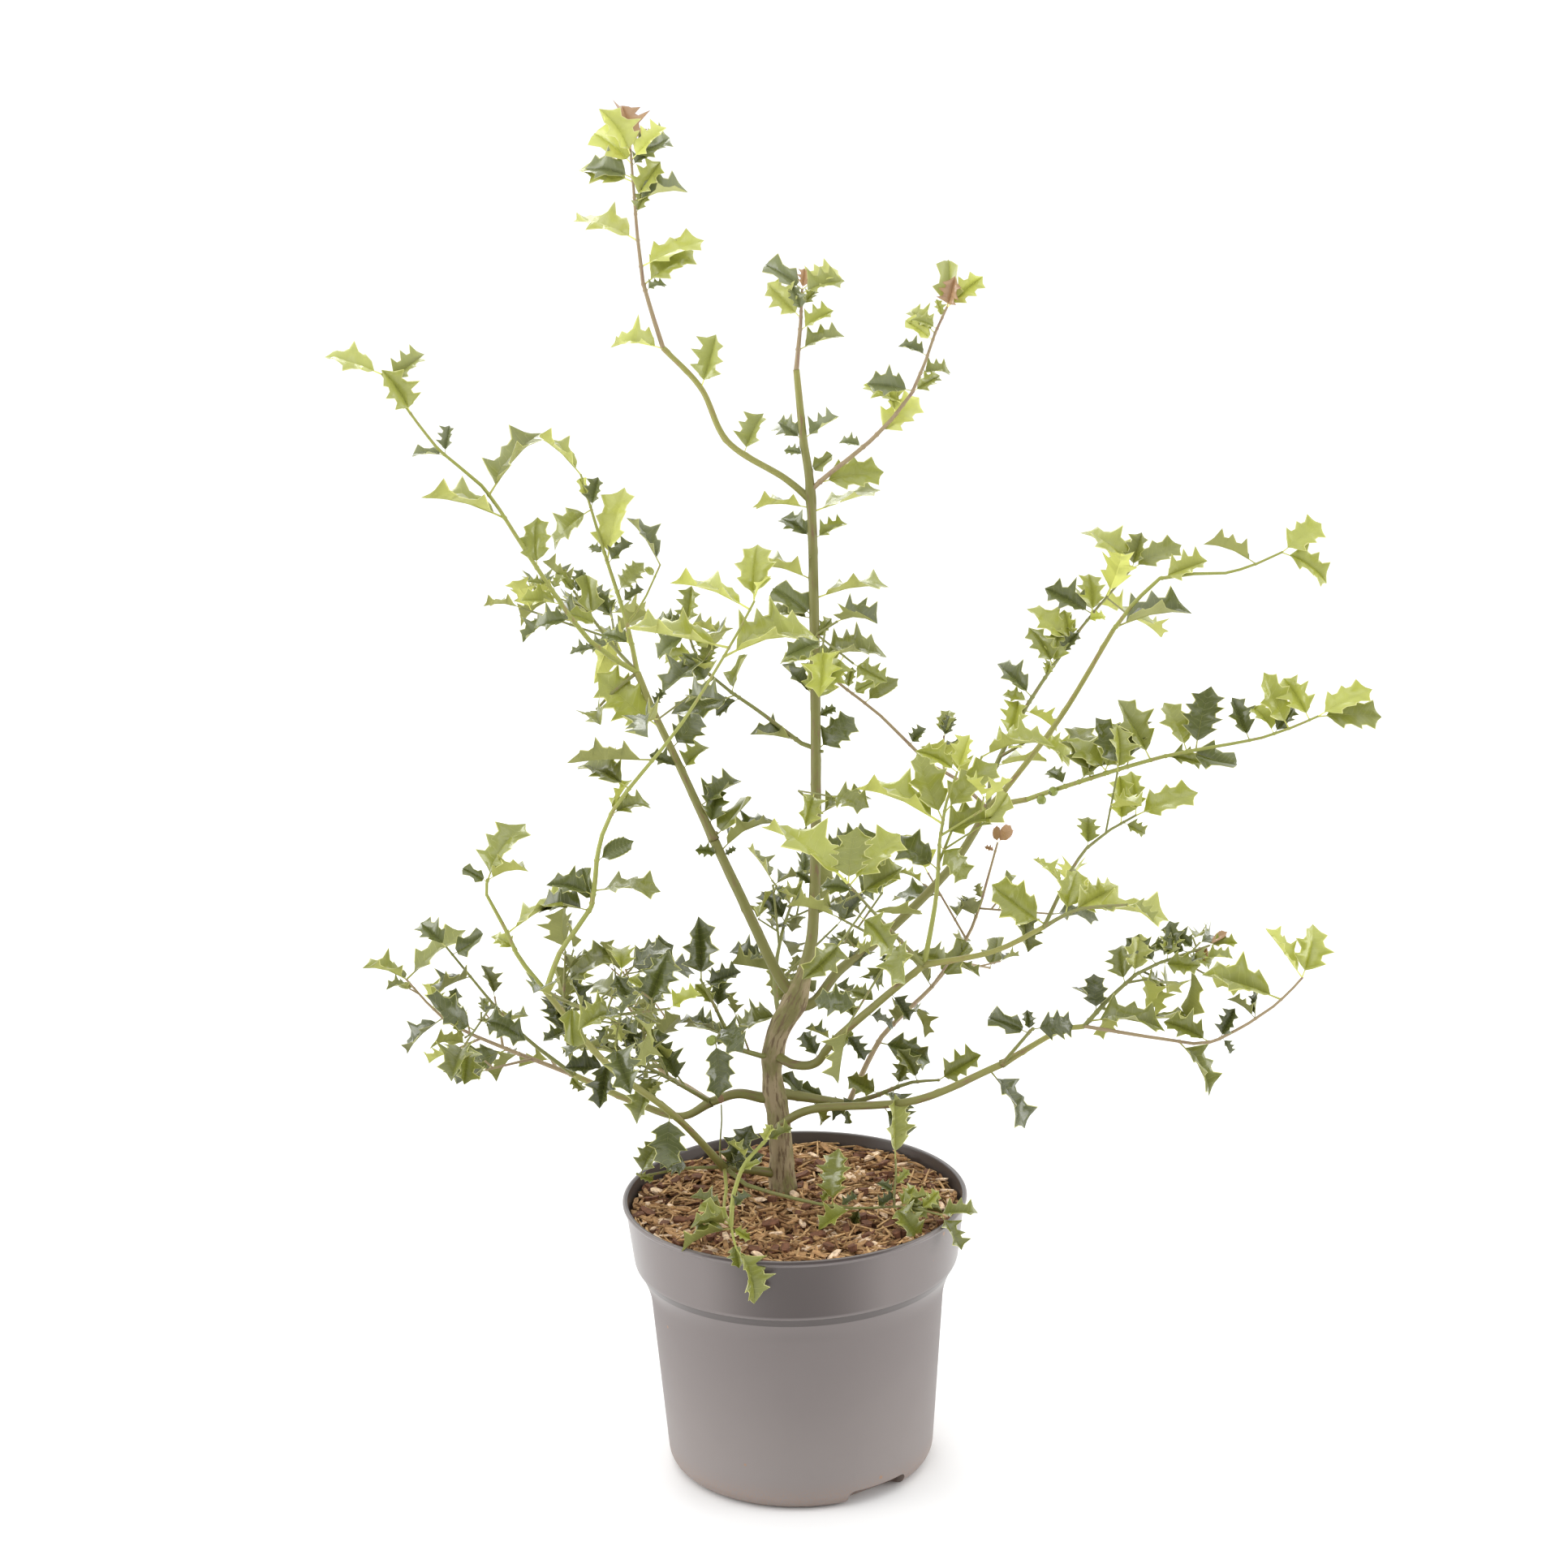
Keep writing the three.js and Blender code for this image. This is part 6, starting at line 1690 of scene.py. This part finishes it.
# A twig's stations from foot to tip with their radii, a little thicker where each leaf stands.
def twigStations(shoot, shares):
    s = twigForm
    end = min(shoot.length, max(s["shortest"], shoot.end * shoot.length + s["beyondLeaf"]))
    marks = {d: 1.0 for d in np.linspace(0, end, max(2, int(end / s["pointStep"]) + 1))}
    for d in sorted(share * shoot.length for share in shares):
        for offset, size in ((-s["nodeHalf"], 1.0), (0, s["swelling"]), (s["nodeHalf"], 1.0)):
            if 0 < d + offset < end:
                marks[d + offset] = max(size, marks.get(d + offset, 1.0))
    return [(shoot.at(d)[0], shoot.radius(d) * size) for d, size in sorted(marks.items())]


def makeTwigs():
    pieces = []
    for wood in ("green", "olive", "brown"):
        data = bpy.data.curves.new("twigs_" + wood, "CURVE")
        data.dimensions = "3D"
        data.bevel_depth = 1.0
        data.bevel_resolution = twigForm["sides"]
        data.use_fill_caps = True
        for name, g in grown.items():
            if masses[name]["wood"] != wood:
                continue
            everyLeaf = g["leaves"] + g["fineLeaves"]
            for shoot in g["shoots"] + g["fineTwigs"]:
                shares = [leaf["share"] for leaf in everyLeaf if leaf["shoot"] is shoot]
                stations = twigStations(shoot, shares)
                spline = data.splines.new("POLY")
                spline.points.add(len(stations) - 1)
                for spot, (place, radius) in zip(spline.points, stations):
                    spot.co = (*(place * mm), 1.0)
                    spot.radius = radius * mm
        holder = bpy.data.objects.new("twig_lines", data)
        mesh = bpy.data.meshes.new_from_object(holder)
        mesh.name = "twigs_" + wood
        bpy.data.objects.remove(holder)
        bpy.data.curves.remove(data)
        mesh.materials.clear()
        pieces.append(finishPiece("twigs_" + wood, mesh, [woodMaterials[wood]]))
        print("twigs", wood, len(mesh.polygons), "faces")
    return pieces


twigPieces = makeTwigs()

# Berries, in millimetres. Their far end is a little flat above crownFrom and dark above markFrom, as
# shares of the radius.
berrySizes = dict(
    radius=4.0, sunk=1.2, droop=-0.8, stalk=0.7, stalkLength=2.5, stalkSides=6, around=20, along=14,
    crownFrom=0.8, crownSpan=0.2, crownSunk=0.7, markFrom=0.84,
)
berrySkin = dict(colour=(132, 142, 66), roughness=0.32, spread=0.15, scale=220.0)
berryMark = dict(colour=(60, 52, 34), roughness=0.7)


def makeBerries():
    s = berrySizes
    radius = s["radius"]
    bm = bmesh.new()
    for name, mass in masses.items():
        stem = grown[name]["shoots"][0]
        for share in mass.get("fruit", ()):
            distance = stem.length * share
            place, along = stem.at(distance)
            turn = 2 * math.pi * seeded(math.floor(distance + 0.5))()
            direction = branchDirection(along, turn, math.pi / 2, s["droop"])
            middle = place + direction * (stem.radius(distance) + radius - s["sunk"])
            turned = Vector(direction).to_track_quat("Z", "Y").to_matrix().to_4x4()
            ball = bmesh.ops.create_uvsphere(bm, u_segments=s["around"], v_segments=s["along"], radius=radius)
            for v in ball["verts"]:
                top = max(0.0, v.co.z / radius - s["crownFrom"]) / s["crownSpan"]
                v.co.z -= top * top * s["crownSunk"]
            bmesh.ops.transform(bm, matrix=Matrix.Translation(middle) @ turned, verts=ball["verts"])
            for f in {f for v in ball["verts"] for f in v.link_faces}:
                centre = turned.inverted() @ (f.calc_center_median() - Vector(middle))
                f.material_index = 1 if centre.z > radius * s["markFrom"] else 0
            before = set(bm.faces)
            end = place + direction * s["stalkLength"]
            sweep(bm, [place, end], [s["stalk"], s["stalk"]], s["stalkSides"])
            for f in set(bm.faces) - before:
                f.material_index = 2
    skin, mark = plainMaterial("berry_skin", **berrySkin), plainMaterial("berry_mark", **berryMark)
    mesh = meshInMetres(bm, "berries")
    return finishPiece("berries", mesh, [skin, mark, woodMaterials["green"]])


berryPiece = makeBerries()
print("berries made")

# The wall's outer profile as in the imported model; solid up to the base height, hollow above.
potSizes = dict(
    height=230, rimRadius=140, lipHeight=4.5, collarTop=138.2, collarFoot=132, collarFootHeight=178,
    shoulderRadius=120.5, shoulderHeight=160, footRadius=108.5, footRounding=14, wall=1.8, baseHeight=24,
    steps=128, segments=5, largeRounding=10, largeSegments=9, sharp=32,
)
recessSizes = dict(width=56, depth=20, height=14, bearings=(-55, 125), rounding=5, segments=4)


def potCorners():
    s = potSizes
    slope = (s["collarTop"] - s["collarFoot"]) / (s["height"] - s["collarFootHeight"])
    lipFoot = s["height"] - s["lipHeight"]
    wall = s["wall"]
    # radius, height, rounding of each corner
    return [
        (s["footRadius"] - 0.2, 0, s["footRounding"]),
        (s["shoulderRadius"], s["shoulderHeight"], 16),
        (s["collarFoot"], s["collarFootHeight"], 2.4),
        (s["collarTop"] - slope * s["lipHeight"], lipFoot, 1.2),
        (s["rimRadius"], lipFoot + 1.2, 1.2),
        (s["rimRadius"], s["height"], 1.6),
        (s["collarTop"] - wall - 0.4, s["height"], 1.4),
        (s["collarFoot"] - wall, s["collarFootHeight"] - 2, 2),
        (s["shoulderRadius"] - wall, s["shoulderHeight"], 2),
        (s["footRadius"] - wall + 1.0, s["baseHeight"], 4),
    ]


# Half the pot's profile as a face, its corners rounded, then only its outline spun round.
def makePot():
    s = potSizes
    corners = potCorners()
    bm = bmesh.new()
    middle = [bm.verts.new((0, 0, s["baseHeight"])), bm.verts.new((0, 0, 0))]
    verts = [bm.verts.new((r, 0, z)) for r, z, rounding in corners]
    bm.faces.new([middle[1]] + verts + [middle[0]])
    for vert, (r, z, rounding) in zip(verts, corners):
        segments = s["segments"] if rounding < s["largeRounding"] else s["largeSegments"]
        bmesh.ops.bevel(bm, geom=[vert], offset=rounding, segments=segments, profile=0.5, affect="VERTICES",
                        material=-1)
    bmesh.ops.delete(bm, geom=bm.faces[:], context="FACES_ONLY")
    axis = [e for e in bm.edges if all(abs(v.co.x) < 1e-6 for v in e.verts)]
    bmesh.ops.delete(bm, geom=axis, context="EDGES")
    spinRound(bm, s["steps"])
    pot = linkObject("pot_blank", meshInMetres(bm, "pot_shell"))
    cutters = [cutRecess(pot, bearing) for bearing in recessSizes["bearings"]]
    cutMesh = bpy.data.meshes.new_from_object(pot.evaluated_get(bpy.context.evaluated_depsgraph_get()))
    for spent in [pot] + cutters:
        bpy.data.objects.remove(spent)
    cutMesh.name = "pot_shell"
    cutMesh.materials.clear()
    return finishPiece("pot_shell", cutMesh, [makePotMaterial()], s["sharp"])


# A drainage recess in the foot's edge, cut with a block whose upper edges are rounded.
def cutRecess(pot, bearing):
    s = recessSizes
    bm = bmesh.new()
    bmesh.ops.create_cube(bm, size=1)
    size = Matrix.Diagonal((2 * s["depth"], s["width"], 2 * s["height"], 1))
    bmesh.ops.transform(bm, matrix=size, verts=bm.verts)

    def rounded(edge):
        low, high = sorted(v.co.z for v in edge.verts)
        return low > 0 or high - low > 1

    edges = [e for e in bm.edges if rounded(e)]
    bmesh.ops.bevel(bm, geom=edges, offset=s["rounding"], segments=s["segments"], profile=0.5,
                    affect="EDGES", material=-1)
    turn = Matrix.Rotation(math.radians(bearing), 4, "Z")
    place = turn @ Matrix.Translation((potSizes["footRadius"], 0, 0))
    bmesh.ops.transform(bm, matrix=Matrix.Scale(mm, 4) @ place, verts=bm.verts)
    cutter = linkObject("recess_cutter", meshOf(bm, "recess_cutter"))
    cut = pot.modifiers.new("recess", "BOOLEAN")
    cut.operation = "DIFFERENCE"
    cut.solver = "EXACT"
    cut.object = cutter
    return cutter


potPiece = makePot()
print("pot made")

# The bed is a disc with a low edge, dished, with lumps of (share, noise scale, noise layer).
bedSizes = dict(
    radius=134.4, foot=133, rings=34, steps=110, level=214.5, dish=2.5, dishMiddle=0.6, depth=9,
    lumps=2.2, lumpNoise=((1.0, 0.05, 3.0), (0.5, 0.14, 9.0)),
)
bedSoil = dict(colour=(96, 66, 42), roughness=0.95, spread=0.5, scale=220.0)
chipLayout = dict(
    count=3600, reach=133, seed=77, shapes=6, kindSeed=100, tilt=20, pile=6, pileShape=1.6, lift=0.3,
    alongWall=0.2, sharp=35, roughness=0.85, spread=0.35, scale=260.0,
)


def bedHeight(x, y):
    s = bedSizes
    r = math.hypot(x, y) / s["radius"]
    lump = sum(
        share * noise.noise(Vector((x * scale, y * scale, layer))) for share, scale, layer in s["lumpNoise"]
    )
    return s["level"] + s["dish"] * (r * r - s["dishMiddle"]) + s["lumps"] * lump


def makeBed():
    s = bedSizes
    bm = bmesh.new()
    profile = [(s["radius"] * i / s["rings"], 0, 0) for i in range(s["rings"] + 1)]
    profile += [(s["foot"], 0, -s["depth"]), (0, 0, -s["depth"])]
    line = [bm.verts.new(p) for p in profile]
    for a, b in zip(line, line[1:]):
        bm.edges.new((a, b))
    spinRound(bm, s["steps"])
    for v in bm.verts:
        v.co.z += bedHeight(v.co.x, v.co.y)
    soil = plainMaterial("mulch_bed", **bedSoil)
    return finishPiece("mulch_bed", meshInMetres(bm, "mulch_bed"), [soil])


# Kinds of chip: length, width and thickness ranges, share of the count, colour and twist.
chipKinds = {
    "straw_fibre": dict(
        long=(9, 24), wide=(1, 2.2), thick=(0.7, 1.4), share=0.38, colour=(190, 154, 108), twist=0.5,
    ),
    "tan_chip": dict(
        long=(7, 16), wide=(2.5, 5), thick=(1, 2), share=0.25, colour=(168, 130, 88), twist=0.25,
    ),
    "brown_fibre": dict(
        long=(9, 20), wide=(1.4, 3), thick=(0.8, 1.6), share=0.26, colour=(128, 92, 56), twist=0.4,
    ),
    "bark_nugget": dict(
        long=(7, 14), wide=(5, 9), thick=(3, 5), share=0.05, colour=(110, 72, 50), twist=0.15,
    ),
    "pale_chip": dict(
        long=(9, 20), wide=(4, 8), thick=(1, 2), share=0.055, colour=(224, 196, 166), twist=0.2,
    ),
}

# Pairs are a middle and how far it varies. All are shares of the chip's size.
chipForm = dict(
    bend=0.12, twistVaries=0.3, endWidth=0.62, width=(0.95, 0.12), thickness=(0.9, 0.25), endVaries=0.09,
    splay=0.5,
)


def makeChipShape(seed, twist):
    s = chipForm
    draw = seeded(seed)
    bm = bmesh.new()
    bmesh.ops.create_cube(bm, size=1)
    along = [e for e in bm.edges if abs(e.verts[0].co.x - e.verts[1].co.x) > 0.5]
    bmesh.ops.subdivide_edges(bm, edges=along, cuts=2, use_grid_fill=True)
    bend = around(0, s["bend"], draw)
    for v in bm.verts:
        x, y, z = v.co
        end = abs(x) > 0.4
        angle = twist * x * around(1, s["twistVaries"], draw)
        y *= s["endWidth"] if end else around(*s["width"], draw)
        z *= around(*s["thickness"], draw)
        longer = around(0, s["endVaries"], draw) if end else 0
        bent = y * math.cos(angle) - z * math.sin(angle) + bend * x * x * 2
        v.co = (x + longer, bent, y * math.sin(angle) * s["splay"] + z)
    return shapeArrays(meshOf(bm, "chip"))


# Places one chip. A chip that would reach through the pot's wall lies along it.
def layChip(kind, draw):
    s = chipLayout
    size = [low + (high - low) * draw() for low, high in (kind["long"], kind["wide"], kind["thick"])]
    radius = s["reach"] * math.sqrt(draw())
    bearing = draw() * 2 * math.pi
    heading = draw() * math.pi
    if radius > s["reach"] - size[0] / 2:
        radius = min(radius, s["reach"] - size[1] / 2) - size[0] ** 2 / (8 * s["reach"])
        heading = bearing + math.pi / 2 + around(0, s["alongWall"], draw)
    x, y = radius * math.cos(bearing), radius * math.sin(bearing)
    tilt = [Matrix.Rotation(math.radians(around(0, s["tilt"], draw)), 3, axis) for axis in "YX"]
    turn = Matrix.Rotation(heading, 3, "Z") @ tilt[0] @ tilt[1]
    axes = [np.array(turn.col[n]) * size[n] for n in range(3)]
    lift = draw() ** s["pileShape"] * s["pile"] + size[2] * s["lift"]
    return axes, (x, y, bedHeight(x, y) + lift), draw()


def makeChips():
    s = chipLayout
    draw = seeded(s["seed"])
    pieces = []
    for k, (name, kind) in enumerate(chipKinds.items()):
        shapes = [makeChipShape(s["kindSeed"] * k + i, kind["twist"]) for i in range(s["shapes"])]
        count = int(s["count"] * kind["share"])
        copies = [(shapes[i % s["shapes"]], *layChip(kind, draw)) for i in range(count)]
        mesh = joinCopies("mulch_" + name, copies)
        material = plainMaterial("mulch_" + name, kind["colour"], s["roughness"], s["spread"], s["scale"])
        pieces.append(finishPiece("mulch_" + name, mesh, [material], s["sharp"]))
        print("chips", name, count)
    return pieces


bedPiece = makeBed()
chipPieces = makeChips()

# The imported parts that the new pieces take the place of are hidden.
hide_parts("pot")
for piece in [bedPiece] + chipPieces:
    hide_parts("mulch")
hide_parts("trunk")
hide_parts(*["bough_" + name for name in boughs])
for piece in leafPieces + twigPieces + [berryPiece]:
    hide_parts(*["spray_" + name for name in masses])

# Lamps, with places and sizes in metres and power in watts.
lampSettings = {
    "key": dict(place=(-0.9, -1.9, 3.0), aim=(0, 0, 0.7), size=1.8, power=11),
    "left": dict(place=(-2.6, -0.55, 0.7), aim=(0, 0, 0.4), size=1.8, power=33),
    "right": dict(place=(2.6, -0.55, 0.7), aim=(0, 0, 0.4), size=1.8, power=30),
    "back": dict(place=(-0.6, 2.4, 2.4), aim=(0, 0, 0.7), size=1.6, power=20),
}
surround = dict(front=0.36, rear=1.15, top=1.5, depths=(-0.7, 0.1), heights=(0.2, 0.9), strength=1.0)
floorLook = dict(half=150, roughness=0.8, level=0.9)


def grey(level):
    return level, level, level, 1.0


def addLamps():
    for name, s in lampSettings.items():
        data = bpy.data.lights.new(name, "AREA")
        data.shape = "DISK"
        data.size = s["size"]
        data.energy = s["power"]
        turn = (Vector(s["aim"]) - Vector(s["place"])).to_track_quat("-Z", "Y")
        linkObject(name, data).matrix_world = Matrix.Translation(s["place"]) @ turn.to_matrix().to_4x4()


# A surround that is brightest overhead and darkest in front, but plain where it is seen itself.
def addSurround():
    s = surround
    world = bpy.data.worlds.new("soft_surround")
    world.use_nodes = True
    tree = world.node_tree
    depth, height = split(tree, addNode(tree, "TexCoord").outputs["Generated"])[1:]
    level = mixColours(tree, fade(tree, depth, *s["depths"]), grey(s["front"]), grey(s["rear"]))
    colour = mixColours(tree, fade(tree, height, *s["heights"]), level, grey(s["top"]))
    seen = addNode(tree, "LightPath").outputs["Is Camera Ray"]
    back = tree.nodes["Background"]
    join(tree, (mixColours(tree, seen, colour, grey(s["top"])), back.inputs["Color"]))
    back.inputs["Strength"].default_value = s["strength"]
    bpy.context.scene.world = world


def addFloor():
    s = floorLook
    bm = bmesh.new()
    bmesh.ops.create_grid(bm, x_segments=1, y_segments=1, size=s["half"])
    mesh = meshOf(bm, "floor")
    floor = linkObject("floor", mesh)
    mesh.materials.append(newMaterial("floor_white", s["roughness"], {"Base Color": grey(s["level"])})[0])


addLamps()
addSurround()
addFloor()
bpy.context.scene.view_settings.view_transform = "Standard"
print("floor and light in place")
